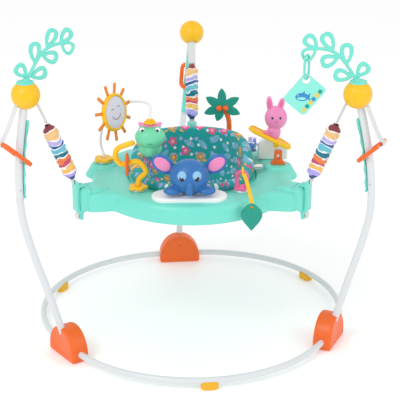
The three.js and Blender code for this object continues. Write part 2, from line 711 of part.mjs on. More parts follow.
function buildLeafLoop(group) {
  const foot = LOOP_STATION;
  const loop = sweep([vec(-9, 0, 6), vec(-11, 0, 30), vec(-6, -3, 46), vec(4, -6, 50), vec(12, -8, 42),
    vec(12, -6, 24), vec(8, 0, 6)], polygon(4.5, 6), 10);
  const base = join(disc(17, 5, 12), move(flower(18, 5, 7), 0, 0, 4));
  add(group, 'loop_post', move(join(base, loop), foot.x, foot.y, foot.z + GAP), PINK);
  const ring = new THREE.Shape();
  ring.absarc(0, 0, 12, 0, 2 * Math.PI, false);
  const eye = new THREE.Path();
  eye.absarc(0, 0, 7.5, 0, 2 * Math.PI, true);
  ring.holes.push(eye);
  const band = plate(ring, 5, 4, 0).translate(0, 0, -2.5).rotateY(Math.PI / 2);
  const ringPlace = vec(foot.x + 2, foot.y - 6, foot.z + 50 + GAP);
  const edge = vec(136, -240, TRAY_TOP + 9);
  const rise = ringPlace.clone().lerp(edge, 0.45).add(vec(0, 0, 8));
  const strapPath = [ringPlace.clone().add(vec(1, -8, 0)), rise,
    edge, edge.clone().add(vec(1, -13, -14)), edge.clone().add(vec(1, -14, -26))];
  const tongue = sweep(strapPath, rectangle(9, 4), 10);
  const leafShape = new THREE.Shape();
  leafShape.moveTo(0, 34);
  leafShape.bezierCurveTo(34, 30, 30, -12, 0, -34);
  leafShape.bezierCurveTo(-30, -12, -34, 30, 0, 34);
  const leaf = plate(leafShape, 10, 5, 3).rotateX(Math.PI / 2)
    .translate(edge.x + 1, edge.y - 9, TRAY_TOP - 22 - 20 + 12);
  add(group, 'leaf_teether', join(move(band, ringPlace.x, ringPlace.y, ringPlace.z), tongue, leaf), TEAL);
}

function buildPalm(group) {
  const foot = PALM_STATION;
  const trunk = sweep([vec(0, 0, 3), vec(3, 0, 40), vec(0, -2, 80), vec(-16, -4, 112)],
    polygon(7, 7), 7);
  const spread = [96, 34, -24, 204, 150];
  const fronds = spread.map((angle) => {
    const blade = plate(stadium(48, 19), 6, 3, 0).rotateX(Math.PI / 2);
    blade.translate(22, 3, 0).rotateY(-rad(angle));
    return blade.translate(-16, -8, 110);
  });
  const nuts = [-1, 1].map((side) => ellipsoid(8, 8, 8, 6, 5).translate(-16 + side * 8, -14, 108));
  const base = disc(17, 6, 12).translate(0, 0, GAP);
  add(group, 'palm_tree', move(join(trunk, base, ...fronds, ...nuts), foot.x, foot.y, foot.z), TEAL);
}

function buildSurfer(group) {
  const foot = SURF_STATION;
  const floor = foot.z + PLATFORM_RISE + GAP;
  const post = new THREE.Shape();
  post.moveTo(-19, 0);
  post.lineTo(19, 0);
  post.lineTo(10, 10);
  post.lineTo(9, 34);
  post.lineTo(-9, 34);
  post.lineTo(-10, 10);
  const stand = plate(post, 22, 1).rotateX(Math.PI / 2).translate(0, 11, 0);
  const slot = plate(rectangle(7, 14), 40, 1).rotateX(Math.PI / 2).translate(0, 20, 20);
  add(group, 'surf_stand', move(cut(stand, slot), foot.x, foot.y, floor), ORANGE);
  const board = plate(stadium(118, 40), 9, 6, 3).translate(0, 0, 0);
  const knuckle = rod(vec(22, -8, -5), vec(22, 8, -5), 7, 8);
  const whole = join(board, knuckle).rotateY(-rad(BOARD_TILT));
  add(group, 'surfboard', move(whole, foot.x - 24, foot.y, SURF_PIVOT.z + 25), YELLOW);
  const bunny = join(
    ellipsoid(28, 22, 30, 10, 7).translate(0, 0, 62),
    ellipsoid(17, 15, 22, 8, 5).translate(-4, 0, 24),
    ellipsoid(8, 5, 24, 6, 5).rotateY(-0.1).translate(-16, 0, 96),
    ellipsoid(8, 5, 20, 6, 5).rotateY(0.25).translate(12, 0, 94),
    ellipsoid(16, 9, 7, 6, 5).rotateY(0.5).translate(-16, 0, 18),
  );
  const boardTop = vec(0, 0, 9 + GAP).applyAxisAngle(vec(0, 1, 0), -rad(BOARD_TILT));
  const under = move(disc(80, 60, 8), 0, 0, -60).rotateY(-rad(BOARD_TILT))
    .translate(boardTop.x - 16, 0, boardTop.z + 6);
  add(group, 'bunny_rider', move(cut(bunny, under), foot.x - 8, foot.y, SURF_PIVOT.z + 19), LILAC_PINK);
}

function buildDrum(group) {
  const foot = DRUM_STATION;
  const outline = new THREE.Shape();
  outline.moveTo(-38, 0);
  outline.lineTo(38, 0);
  outline.lineTo(38, 22);
  outline.absarc(0, 22, 38, 0, Math.PI, false);
  const housing = plate(outline, 34, 6, 3).rotateX(Math.PI / 2).translate(0, 17, 0);
  const axle = rod(vec(-67, 0, DRUM_AXIS_RISE), vec(-30, 0, DRUM_AXIS_RISE), 3, 6);
  add(group, 'drum_housing', move(join(housing, axle), foot.x, foot.y, foot.z + GAP), WHITE_PLASTIC);
  const roll = new THREE.Shape();
  roll.absarc(0, 0, 19, 0, 2 * Math.PI, false);
  const bore = new THREE.Path();
  bore.absarc(0, 0, 3 + GAP, 0, 2 * Math.PI, true);
  roll.holes.push(bore);
  const drum = plate(roll, 20, 6, 2).translate(0, 0, -10);
  add(group, 'roller_drum', aim(drum, vec(1, 0, 0), DRUM_AT.clone().add(vec(0, 0, GAP))), LILAC_PINK);
}

// ---- Seat ----------------------------------------------------------------------------------------

const SEAT_TOP = TRAY_TOP - WELL_LEDGE_DROP + GAP;
const SEAT_RING_INNER = WELL_RADIUS - RING_WIDTH - 1;

function seatRing() {
  const outer = WELL_RADIUS - 1;
  const profile = [[SEAT_RING_INNER, 0], [outer, 0], [outer, 7], [outer - 3, 9], [SEAT_RING_INNER, 9],
    [SEAT_RING_INNER, 0]];
  const points = profile.map(([r, z]) => new THREE.Vector2(r, z));
  return new THREE.LatheGeometry(points, ROUND).rotateX(Math.PI / 2).translate(0, 0, SEAT_TOP);
}

function seatRim(angle) {
  const share = THREE.MathUtils.smoothstep(Math.sin(angle), -0.54, 0.75);
  return TRAY_TOP + SEAT_FRONT_RISE + (SEAT_BACK_RISE - SEAT_FRONT_RISE) * share;
}

function seatFabric() {
  const floor = TRAY_TOP - SEAT_DEPTH;
  const throat = SEAT_RING_INNER - GAP;
  const ringTop = SEAT_TOP + 9 + GAP;
  const profileAt = (angle) => {
    const rim = seatRim(angle);
    return [
      ...BOWL_OUTSIDE.map(([share, up]) => [throat * share, floor + up]),
      [throat, SEAT_TOP - 4], [throat, ringTop], [throat + 7, ringTop + 2], [throat + 8, rim - 6],
      [throat + 4, rim], [throat - 4, rim], [throat - 8, rim - 6], [throat - SEAT_WALL, SEAT_TOP],
      ...BOWL_INSIDE.map(([share, up]) => [throat * share, floor + up]),
    ];
  };
  const rows = profileAt(0).length;
  const rings = Array.from({ length: rows }, (_, row) => Array.from({ length: ROUND }, (__, i) => {
    const angle = (2 * Math.PI * i) / ROUND;
    const [r, z] = profileAt(angle)[row];
    return vec(r * Math.cos(angle), r * Math.sin(angle), z);
  }));
  const legHoles = [-1, 1].map((side) => {
    const from = vec(side * 54, -46, floor - 20);
    return rod(from, vec(side * 46, -30, floor + 60), LEG_HOLE_RADIUS, 12);
  });
  return cut(skin(rings), ...legHoles);
}

// ---- Fronds, link and tag ------------------------------------------------------------------------

function teardrop(length, width) {
  const shape = new THREE.Shape();
  shape.moveTo(0, 0);
  shape.bezierCurveTo(length / 3, width * 0.55, length, width * 0.8, length, 0);
  shape.bezierCurveTo(length, -width * 0.8, length / 3, -width * 0.55, 0, 0);
  return shape;
}

function frond() {
  const stem = sweep(FROND_STEM.map(([x, z]) => vec(x, 0, z)), rectangle(FROND_THICKNESS, 7), 9);
  const leaves = FROND_LEAVES.map(([x, z, angle, length]) => {
    const leaf = plate(teardrop(length, LEAF_WIDTH), FROND_THICKNESS, 3);
    const inner = teardrop(length - 2.2 * LEAF_BAND, LEAF_WIDTH - 2 * LEAF_BAND);
    const opening = plate(inner, 3 * FROND_THICKNESS, 3);
    return cut(leaf, opening.translate(1.2 * LEAF_BAND, 0, -FROND_THICKNESS)).rotateX(Math.PI / 2)
      .translate(0, FROND_THICKNESS / 2, 0).rotateY(-rad(angle)).translate(x, 0, z);
  });
  const clip = disc(17, 12, 12, 11).translate(4, 0, BALL_RADIUS - 6);
  const clear = BALL_RADIUS + 3 * GAP;
  return cut(join(stem, ...leaves, clip), ellipsoid(clear, clear, clear, 12, 7));
}

function linkRing() {
  const shape = stadium(LINK_LENGTH, LINK_WIDTH);
  shape.holes.push(stadium(LINK_LENGTH - 2 * LINK_BAR, LINK_WIDTH - 2 * LINK_BAR));
  // stand it up, its long side upright
  return plate(shape, LINK_BAR, 3, 1.2).translate(0, 0, -LINK_BAR / 2).rotateX(Math.PI / 2)
    .rotateY(Math.PI / 2);
}

function tagCard() {
  const across = TAG_WIDTH / 2;
  const up = TAG_HEIGHT / 2;
  const corner = TAG_CORNER;
  const shape = new THREE.Shape();
  shape.absarc(across - corner, up - corner, corner, 0, Math.PI / 2, false);
  shape.absarc(corner - across, up - corner, corner, Math.PI / 2, Math.PI, false);
  shape.absarc(corner - across, corner - up, corner, Math.PI, 1.5 * Math.PI, false);
  shape.absarc(across - corner, corner - up, corner, 1.5 * Math.PI, 2 * Math.PI, false);
  const hole = move(disc(TAG_HOLE, 20, 12), TAG_HOLE + 4 - across, up - TAG_HOLE - 4, -10);
  return cut(plate(shape, 4, 4, 0), hole).rotateX(Math.PI / 2).translate(0, 2, 0);
}

// ---- Assembly ------------------------------------------------------------------------------------

function buildBase(group) {
  const turned = new THREE.Group();
  turned.rotation.z = rad(BASE_TWIST);
  group.add(turned);
  const arcs = { rear: 'left', left: 'front', right: 'right' };
  for (const [leg, angle] of Object.entries(LEGS)) {
    const spot = new THREE.Group();
    spot.rotation.z = rad(angle);
    turned.add(spot);
    add(spot, `base_tube_${arcs[leg]}`, ringTube(), WHITE_STEEL);
    add(spot, `foot_hub_${leg}`, cut(hubBody(), ringBore(), uprightSocket()), ORANGE);
    const pad = add(spot, `foot_pad_${arcs[leg]}`, footPad(), YELLOW);
    const middle = ringPoint(60);
    pad.position.set(middle.x, middle.y, 0);
    pad.rotation.z = rad(60 + 90);
  }
}

function buildLeg(group, leg, angle) {
  const spot = new THREE.Group();
  spot.rotation.z = rad(angle);
  group.add(spot);
  add(spot, `upright_lower_${leg}`, lowerTube(), WHITE_STEEL);
  const atBall = new THREE.Group();
  atBall.position.set(BALL_CIRCLE_RADIUS, 0, BALL_HEIGHT);
  spot.add(atBall);
  add(atBall, `top_ball_${leg}`, ballShell(), YELLOW);
  add(atBall, `strap_${leg}`, strap(), WEBBING);
  add(atBall, `spring_sleeve_${leg}`, springSleeve(), STRIPED);
  add(atBall, `spring_${leg}`, spring(), STEEL);
  const leaned = new THREE.Group();
  leaned.rotation.x = rad(UPRIGHT_LEAN);
  atBall.add(leaned);
  add(leaned, `upright_upper_${leg}`, upperTube(), WHITE_STEEL);
  add(leaned, `height_rack_${leg}`, rack(), MINT);
  const clip = add(leaned, `height_clip_${leg}`, heightClip(), ORANGE);
  clip.position.set(CLIP_OFFSET, 0, -CLIP_DROP);
  add(spot, `tray_hook_${leg}`, trayHook(), MINT);
}

function buildFronds(group) {
  for (const [leg, yaw] of Object.entries(FROND_YAW)) {
    const angle = rad(LEGS[leg]);
    const piece = add(group, `frond_${leg}`, frond(), MINT);
    const across = BALL_CIRCLE_RADIUS * Math.cos(angle);
    const back = BALL_CIRCLE_RADIUS * Math.sin(angle);
    piece.position.set(across, back, BALL_HEIGHT);
    piece.rotation.z = rad(yaw);
  }
}

function buildTag(group) {
  const right = rad(LEGS.right);
  const [leafX, leafZ, leafAngle, leafLength] = FROND_LEAVES[FROND_LEAVES.length - 1];
  const reach = leafLength - LEAF_BAND - 7;
  const bar = vec(
    BALL_CIRCLE_RADIUS * Math.cos(right) - leafX - reach * Math.cos(rad(leafAngle)),
    BALL_CIRCLE_RADIUS * Math.sin(right),
    BALL_HEIGHT + leafZ + reach * Math.sin(rad(leafAngle)),
  );
  const linkInside = LINK_LENGTH / 2 - LINK_BAR;
  const link = add(group, 'link_ring', linkRing(), MINT);
  link.rotation.z = rad(LINK_TURN);
  link.position.set(bar.x, bar.y, bar.z - linkInside - LINK_BAR / 2);
  const tag = add(group, 'tag_card', tagCard(), MINT);
  tag.rotation.y = rad(TAG_TURN);
  const cornerUp = vec(TAG_HOLE + 4 - TAG_WIDTH / 2, 0, TAG_HEIGHT / 2 - TAG_HOLE - 4);
  cornerUp.applyAxisAngle(vec(0, 1, 0), rad(TAG_TURN));
  const hang = link.position.z - linkInside - LINK_BAR / 2;
  tag.position.set(bar.x - cornerUp.x, bar.y, hang - cornerUp.z - TAG_HOLE / 2 + 2);
}

function buildAll() {
  buildBase(model);
  for (const [leg, angle] of Object.entries(LEGS)) {
    buildLeg(model, leg, angle);
  }
  buildFronds(model);
  buildTag(model);
  add(model, 'tray', tray(), MINT);
  add(model, 'seat_ring', seatRing(), MINT);
  add(model, 'seat_fabric', seatFabric(), FABRIC);
  buildConsole(model);
  buildSunArch(model);
  buildSun(model);
  buildFrog(model);
  buildSquiggle(model);
  buildLeafLoop(model);
  buildPalm(model);
  buildSurfer(model);
  buildDrum(model);
}

buildAll();
model.updateMatrixWorld(true);
const bounds = new THREE.Box3().setFromObject(model, true);
const centre = bounds.getCenter(vec(0, 0, 0));
model.position.set(-centre.x, -centre.y, -bounds.min.z);
model.updateMatrixWorld(true);

export default model;
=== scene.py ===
"""Baby activity jumper: a tube base, leaning uprights with ball tops and a sprung toy tray.

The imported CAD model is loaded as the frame, and this file dresses it: smooth tubes, moulded
toys, webbing, ruched sleeves and a padded, printed seat. Lengths are millimetres from the
jumper's upright middle line and the floor, and at() turns them into the row frame.
"""
import logging
import math
from contextlib import contextmanager
from dataclasses import dataclass, field
from enum import Enum
from typing import Callable, Iterator, Optional, Sequence

import bpy
from mathutils import Matrix, Vector


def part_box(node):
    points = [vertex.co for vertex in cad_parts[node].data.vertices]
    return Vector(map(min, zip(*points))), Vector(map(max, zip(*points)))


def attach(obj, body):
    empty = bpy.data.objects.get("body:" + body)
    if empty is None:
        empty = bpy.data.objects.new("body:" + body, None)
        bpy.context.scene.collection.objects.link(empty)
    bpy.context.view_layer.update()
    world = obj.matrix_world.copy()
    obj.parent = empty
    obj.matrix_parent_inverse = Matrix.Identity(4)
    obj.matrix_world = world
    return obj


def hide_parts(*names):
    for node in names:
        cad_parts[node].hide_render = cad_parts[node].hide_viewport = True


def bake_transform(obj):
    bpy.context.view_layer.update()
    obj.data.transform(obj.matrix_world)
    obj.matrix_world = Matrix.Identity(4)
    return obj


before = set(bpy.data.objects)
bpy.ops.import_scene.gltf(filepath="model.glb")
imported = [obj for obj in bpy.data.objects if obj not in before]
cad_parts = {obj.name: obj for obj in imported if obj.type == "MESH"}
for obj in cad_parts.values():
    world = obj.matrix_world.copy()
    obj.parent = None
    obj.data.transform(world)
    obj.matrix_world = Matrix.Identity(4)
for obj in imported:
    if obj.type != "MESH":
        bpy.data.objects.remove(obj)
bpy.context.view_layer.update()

logging.basicConfig(level=logging.INFO, format="%(name)s: %(message)s")
log = logging.getLogger("jumper")

MM = 0.001
FRONT = Vector((0, -1, 0))
SEAT_LOW, SEAT_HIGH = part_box("seat_ring")
AXIS = Vector(((SEAT_LOW.x + SEAT_HIGH.x) / 2, (SEAT_LOW.y + SEAT_HIGH.y) / 2, 0.0))
Point = Sequence[float]
MATH = "ShaderNodeMath"
VECTOR_MATH = "ShaderNodeVectorMath"
SIDES = ((-1, "left"), (1, "right"))
ROUND = 2 * math.pi


class Leg(Enum):
    """The three uprights, each with its direction round the jumper in degrees."""

    REAR = 90
    LEFT = 210
    RIGHT = 330

    @property
    def tag(self) -> str:
        """The leg's word in node names."""
        return self.name.lower()

    @property
    def arc(self) -> str:
        """The base tube that starts at this leg's hub."""
        return {"REAR": "left", "LEFT": "front", "RIGHT": "right"}[self.name]


# ---- Places -------------------------------------------------------------------------------------


def mm(x: float, y: float, z: float) -> Vector:
    """A vector in metres, from millimetres."""
    return MM * Vector((x, y, z))


def at(x: float, y: float, z: float) -> Vector:
    """A point of the row frame, from millimetres off the jumper's middle line."""
    return AXIS + mm(x, y, z)


def spot(x: float, y: float, z: float) -> Matrix:
    """The matrix that moves something to a point of the row frame, as at() gives it."""
    return Matrix.Translation(at(x, y, z))


def shift(x: float, y: float, z: float) -> Matrix:
    """A move in millimetres."""
    return Matrix.Translation(mm(x, y, z))


def spin(degrees: float, axis: str = "Z") -> Matrix:
    """A turn about an axis, by default the upright one."""
    return Matrix.Rotation(math.radians(degrees), 4, axis)


def polar(radius: float, angle: float) -> tuple[float, float]:
    """The two numbers of a point on a circle, at an angle in radians."""
    return radius * math.cos(angle), radius * math.sin(angle)


def rounded_square(angle: float, power: float) -> tuple[float, float]:
    """A point of a square with rounded corners, which a smaller power makes sharper."""
    x, y = polar(1.0, angle)
    return math.copysign(abs(x) ** power, x), math.copysign(abs(y) ** power, y)


def by_leg(leg: Leg, out: float, side: float, up: float) -> Vector:
    """A point by a leg: millimetres outwards, to the side round the jumper, and up."""
    turned = spin(leg.value) @ Vector((out, side, up))
    return at(*turned)


def aimed(direction: Vector, place: Vector, roll: float = 0.0) -> Matrix:
    """A matrix that stands local +Z along a direction at a place.

    Args:
        direction: where local +Z points.
        place: where the local origin goes, in metres.
        roll: turn about local +Z, in degrees.

    Returns:
        The placing matrix.
    """
    turn = direction.to_track_quat("Z", "Y").to_matrix().to_4x4()
    return Matrix.Translation(place) @ turn @ spin(roll)


def curve_through(points: Sequence[Vector], steps: int, closed: bool = False) -> list[Vector]:
    """A smooth line through points.

    Args:
        points: the points it passes.
        steps: how many short runs it has between two points.
        closed: whether it returns to its start.

    Returns:
        The line's points.
    """
    count = len(points)
    line: list[Vector] = []
    for i in range(count if closed else count - 1):
        if closed:
            four = [points[(i + k) % count] for k in (-1, 0, 1, 2)]
        else:
            four = [points[min(max(i + k, 0), count - 1)] for k in (-1, 0, 1, 2)]
        a, b, c, d = four
        for step in range(steps):
            t = step / steps
            line.append(0.5 * (2 * b + (c - a) * t + (2 * a - 5 * b + 4 * c - d) * t * t
                               + (3 * b - a - 3 * c + d) * t ** 3))
    if not closed:
        line.append(points[-1].copy())
    return line


def ease(low: float, high: float, value: float) -> float:
    """Nought below low, one above high, and a smooth rise between."""
    share = min(max((value - low) / (high - low), 0.0), 1.0)
    return share * share * (3 - 2 * share)


# ---- Modelling ----------------------------------------------------------------------------------


def deselect() -> None:
    """Leave edit mode and select nothing."""
    if bpy.context.object and bpy.context.object.mode != "OBJECT":
        bpy.ops.object.mode_set(mode="OBJECT")
    bpy.ops.object.select_all(action="DESELECT")


def take(piece: bpy.types.Object) -> bpy.types.Object:
    """Make a piece the only selected and active one."""
    deselect()
    piece.select_set(True)
    bpy.context.view_layer.objects.active = piece
    return piece


def named(name: str) -> bpy.types.Object:
    """Name the new primitive and put its place into its mesh."""
    piece = bpy.context.object
    piece.name = name
    piece.data.name = name
    bpy.ops.object.transform_apply(location=True, rotation=True, scale=True)
    return piece


def smooth(piece: bpy.types.Object, angle: float = 180.0) -> bpy.types.Object:
    """Shade a piece smooth.

    Args:
        piece: the piece.
        angle: the angle between two faces, in degrees, from which their edge stays sharp.

    Returns:
        The same piece.
    """
    take(piece)
    if angle < 180.0:
        bpy.ops.object.shade_smooth_by_angle(angle=math.radians(angle))
    else:
        bpy.ops.object.shade_smooth()
    return piece


def finish_with(piece: bpy.types.Object, kind: str, **settings: object) -> bpy.types.Object:
    """Add a modifier and apply it.

    Args:
        piece: the piece it changes.
        kind: the modifier's type.
        **settings: its own properties.

    Returns:
        The same piece.
    """
    take(piece)
    modifier = piece.modifiers.new(kind.title(), kind)
    for key, value in settings.items():
        setattr(modifier, key, value)
    bpy.ops.object.modifier_apply(modifier=modifier.name)
    return piece


def moved(piece: bpy.types.Object, matrix: Matrix) -> bpy.types.Object:
    """Place a piece by moving its mesh."""
    piece.data.transform(matrix)
    return piece


def rounded(piece: bpy.types.Object, edge: float, rounds: int = 3, sharp: float = 40,
            **settings: object) -> bpy.types.Object:
    """Round a piece's edges.

    Args:
        piece: the piece.
        edge: how far they are rounded, in millimetres.
        rounds: how many faces round an edge.
        sharp: the angle between two faces, in degrees, from which their edge is rounded.
        **settings: more properties of the bevel.

    Returns:
        The same piece.
    """
    return finish_with(piece, "BEVEL", width=edge * MM, segments=rounds, limit_method="ANGLE",
                       angle_limit=math.radians(sharp), **settings)


@contextmanager
def whole_mesh(piece: bpy.types.Object) -> Iterator[None]:
    """Edit a piece with its whole mesh selected, and leave edit mode afterwards."""
    take(piece)
    bpy.ops.object.mode_set(mode="EDIT")
    bpy.ops.mesh.select_all(action="SELECT")
    yield
    bpy.ops.object.mode_set(mode="OBJECT")


def tidy_faces(piece: bpy.types.Object, gap: float = 1e-6) -> bpy.types.Object:
    """Merge doubled points and turn every face outwards."""
    with whole_mesh(piece):
        bpy.ops.mesh.remove_doubles(threshold=gap)
        bpy.ops.mesh.normals_make_consistent(inside=False)
    return piece


def ball(name: str, centre: Vector, radii: Point, turn: Point = (0, 0, 0),
         across: int = 32) -> bpy.types.Object:
    """A rounded body.

    Args:
        name: the piece's name.
        centre: its middle, in metres.
        radii: half its size along its own three directions, in millimetres.
        turn: its turn about X, Y and Z in degrees.
        across: how many faces go round it.

    Returns:
        The new piece.
    """
    deselect()
    bpy.ops.mesh.primitive_uv_sphere_add(segments=across, ring_count=across * 5 // 8, radius=1.0,
                                         location=centre, rotation=[math.radians(t) for t in turn])
    bpy.context.object.scale = [r * MM for r in radii]
    return smooth(named(name))


def dome(name: str, centre: Vector, radii: Point, facing: Vector, turn: Point = (0, 0, 0),
         keep: float = -0.1, across: int = 32) -> bpy.types.Object:
    """A rounded cap with a flat back, such as an eye or a button.

    Args:
        name: the piece's name.
        centre: the middle of the rounded body it is cut from, in metres.
        radii: half its size along its own three directions, in millimetres.
        facing: the direction its rounded side looks.
        turn: its turn about X, Y and Z in degrees.
        keep: where the flat back lies, as a share of its shortest radius from the middle.
        across: how many faces go round it.

    Returns:
        The new piece.
    """
    piece = ball(name, centre, radii, turn, across)
    with whole_mesh(piece):
        bpy.ops.mesh.bisect(plane_co=centre + facing * (keep * min(radii) * MM), plane_no=facing,
                            use_fill=True, clear_inner=True, threshold=1e-7)
    return smooth(piece, 50)


def drum(name: str, start: Vector, end: Vector, radius: float, edge: float = 0.6,
         top: Optional[float] = None, sides: int = 48) -> bpy.types.Object:
    """A round bar, disc or cone with rounded edges.

    Args:
        name: the piece's name.
        start: the middle of its first end, in metres.
        end: the middle of its other end, in metres.
        radius: its radius at the start, in millimetres.
        edge: how far its edges are rounded, in millimetres.
        top: its radius at the end, in millimetres, or None for the same.
        sides: how many faces go round it.

    Returns:
        The new piece.
    """
    deselect()
    along = end - start
    bpy.ops.mesh.primitive_cone_add(vertices=sides, radius1=radius * MM,
                                    radius2=(radius if top is None else top) * MM,
                                    depth=along.length, location=(0, 0, along.length / 2))
    piece = moved(named(name), aimed(along, start))
    if edge:
        rounded(piece, edge)
    return smooth(piece, 35)


def tube(name: str, line: Sequence[Vector], radius: float, closed: bool = False,
         sides: int = 5) -> bpy.types.Object:
    """A round bar bent along a line.

    Args:
        name: the piece's name.
        line: the points of its middle line, in metres.
        radius: its radius in millimetres.
        closed: whether its ends meet.
        sides: the fineness of its roundness.

    Returns:
        The new piece.
    """
    deselect()
    bpy.ops.curve.primitive_nurbs_path_add()
    path = bpy.context.object
    path.data.splines.clear()
    spline = path.data.splines.new("POLY")
    spline.points.add(len(line) - 1)
    for point, place in zip(spline.points, line):
        point.co = (*place, 1.0)
    spline.use_cyclic_u = closed
    path.data.dimensions = "3D"
    path.data.bevel_depth = radius * MM
    path.data.bevel_resolution = sides
    path.data.use_fill_caps = not closed
    bpy.ops.object.convert(target="MESH")
    return smooth(tidy_faces(named(name)), 50)


def plate(name: str, outline: Sequence[Point], thickness: float, edge: float = 0.8,
          rounds: int = 3) -> bpy.types.Object:
    """A flat moulding with rounded edges, lying on local Z = 0.

    Args:
        name: the piece's name.
        outline: its outline in millimetres, going anticlockwise.
        thickness: its height in millimetres.
        edge: how far its edges are rounded, in millimetres.
        rounds: how many faces round an edge.

    Returns:
        The new piece.
    """
    deselect()
    bpy.ops.mesh.primitive_circle_add(vertices=len(outline), fill_type="NGON")
    piece = named(name)
    for vertex, (x, y) in zip(piece.data.vertices, outline):
        vertex.co = (x * MM, y * MM, 0.0)
    with whole_mesh(piece):
        bpy.ops.mesh.extrude_region_move(TRANSFORM_OT_translate={"value": (0, 0, thickness * MM)})
        bpy.ops.mesh.select_all(action="SELECT")
        bpy.ops.mesh.normals_make_consistent(inside=False)
    if edge:
        rounded(piece, edge, rounds)
    return smooth(piece, 35)


def loft(name: str, shape: Callable[[float, float], Vector], across: int, along: int,
         sizes: Point = (1.0, 1.0), gap: float = 1e-6) -> bpy.types.Object:
    """A surface over two shares, each from nought to one, with a measured UV map.

    Args:
        name: the piece's name.
        shape: gives the point, in metres, for the two shares.
        across: how many faces the first share has.
        along: how many faces the second share has.
        sizes: what the UV map measures at one, in metres.
        gap: how near two points are merged, in metres.

    Returns:
        The new piece.
    """
    deselect()
    bpy.ops.mesh.primitive_grid_add(x_subdivisions=across, y_subdivisions=along)
    piece = named(name)
    places: list[float] = []
    for row in range(along + 1):
        for column in range(across + 1):
            places.extend(shape(column / across, row / along))
    piece.data.vertices.foreach_set("co", places)
    for loop in piece.data.uv_layers[0].data:
        loop.uv = (loop.uv[0] * sizes[0], loop.uv[1] * sizes[1])
    return smooth(tidy_faces(piece, gap))


def ribbon(name: str, line: Sequence[Vector], side: Vector, width: float, thickness: float,
           waist: Callable[[float], float] = lambda share: 1.0) -> bpy.types.Object:
    """A flat strap along a line, closed all round.

    Args:
        name: the piece's name.
        line: its middle line, in metres.
        side: the direction of its width.
        width: its width in millimetres.
        thickness: its thickness in millimetres.
        waist: the share of its width at each share of its length.

    Returns:
        The new piece.
    """
    length = sum((b - a).length for a, b in zip(line, line[1:]))
    last = len(line) - 1
    corners = 20

    def shape(around: float, along: float) -> Vector:
        """A point of the strap's rounded flat section."""
        i = min(round(along * last), last)
        ahead = (line[min(i + 1, last)] - line[max(i - 1, 0)]).normalized()
        up = side.cross(ahead).normalized()
        x, y = rounded_square(ROUND * around, 0.22)
        half = width * waist(along) / 2
        end = 0.0 if along in (0.0, 1.0) else 1.0
        return line[i] + side * (x * half * MM * end) + up * (y * thickness / 2 * MM * end)

    return loft(name, shape, corners, last, (2 * width * MM, length))


def hoop(name: str, outer: Sequence[Point], inner: Sequence[Point],
         thickness: float) -> bpy.types.Object:
    """A flat ring with rounded edges, standing in local XZ about Y = 0.

    Args:
        name: the piece's name.
        outer: its outer outline in millimetres.
        inner: its inner outline, with as many points.
        thickness: its thickness in millimetres.

    Returns:
        The new piece.
    """
    count = len(outer)

    def shape(around: float, section: float) -> Vector:
        """A point of the ring's rounded section."""
        i = round(around * count) % count
        (ox, oz), (ix, iz) = outer[i], inner[i]
        across, deep = rounded_square(ROUND * section, 0.6)
        x = (ox + ix) / 2 + (ox - ix) / 2 * across
        z = (oz + iz) / 2 + (oz - iz) / 2 * across
        return mm(x, deep * thickness / 2, z)

    return loft(name, shape, count, 12)


def revolve(name: str, outline: Callable[[float], Sequence[Point]], columns: int,
            put: Callable[[float, float, float], Vector] = at, closed: bool = True,
            gap: float = 1e-6) -> bpy.types.Object:
    """A body turned about an axis, whose outline may change with the angle.

    Args:
        name: the piece's name.
        outline: gives the outline at an angle in radians, as distances out and heights in
            millimetres.
        columns: how many faces go round it.
        put: gives the point, in metres, for three numbers in millimetres.
        closed: whether the outline returns to its start.
        gap: how near two points are merged, in metres.

    Returns:
        The new piece.
    """
    sections = [outline(ROUND * i / columns) for i in range(columns)]
    count = len(sections[0])
    rows = count if closed else count - 1

    def shape(around: float, along: float) -> Vector:
        """A point of the body."""
        i = round(around * columns) % columns
        r, z = sections[i][round(along * rows) % count]
        return put(*polar(r, ROUND * i / columns), z)

    return loft(name, shape, columns, rows, gap=gap)


def fuse(name: str, parts: Sequence[bpy.types.Object], grain: float = 1.0,
         rounds: int = 6) -> bpy.types.Object:
    """Join parts into one moulding with softly filled corners.

    Args:
        name: the moulding's name.
        parts: what it is made of.
        grain: the size of its faces in millimetres.
        rounds: how often its surface is evened out.

    Returns:
        The moulding.
    """
    take(parts[0])
    for part in parts[1:]:
        part.select_set(True)
    bpy.ops.object.join()
    piece = bpy.context.object
    piece.name = name
    piece.data.name = name
    finish_with(piece, "REMESH", mode="VOXEL", voxel_size=grain * MM, use_smooth_shade=True)
    finish_with(piece, "SMOOTH", factor=0.5, iterations=rounds)
    return smooth(piece)


def cut_away(piece: bpy.types.Object, *tools: bpy.types.Object) -> bpy.types.Object:
    """Cut tools out of a piece and remove them.

    Args:
        piece: the piece that is cut.
        *tools: the bodies that are taken out of it.

    Returns:
        The same piece.
    """
    for tool in tools:
        finish_with(piece, "BOOLEAN", object=tool, operation="DIFFERENCE", solver="EXACT")
        bpy.data.objects.remove(tool, do_unlink=True)
    return piece


def softened(node: str, edge: float, name: str) -> bpy.types.Object:
    """A copy of a CAD node with flat faces made whole and its edges rounded.

    Args:
        node: the CAD node.
        edge: how far its edges are rounded, in millimetres.
        name: the new piece's name.

    Returns:
        The new piece, standing for the node.
    """
    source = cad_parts[node]
    piece = bpy.data.objects.new(name, source.data.copy())
    bpy.context.scene.collection.objects.link(piece)
    with whole_mesh(piece):
        bpy.ops.mesh.remove_doubles(threshold=1e-5)
        bpy.ops.mesh.dissolve_limited(angle_limit=math.radians(2))
    piece.data.materials.clear()
    rounded(piece, edge, sharp=35, use_clamp_overlap=True)
    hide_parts(node)
    return smooth(piece, 35)


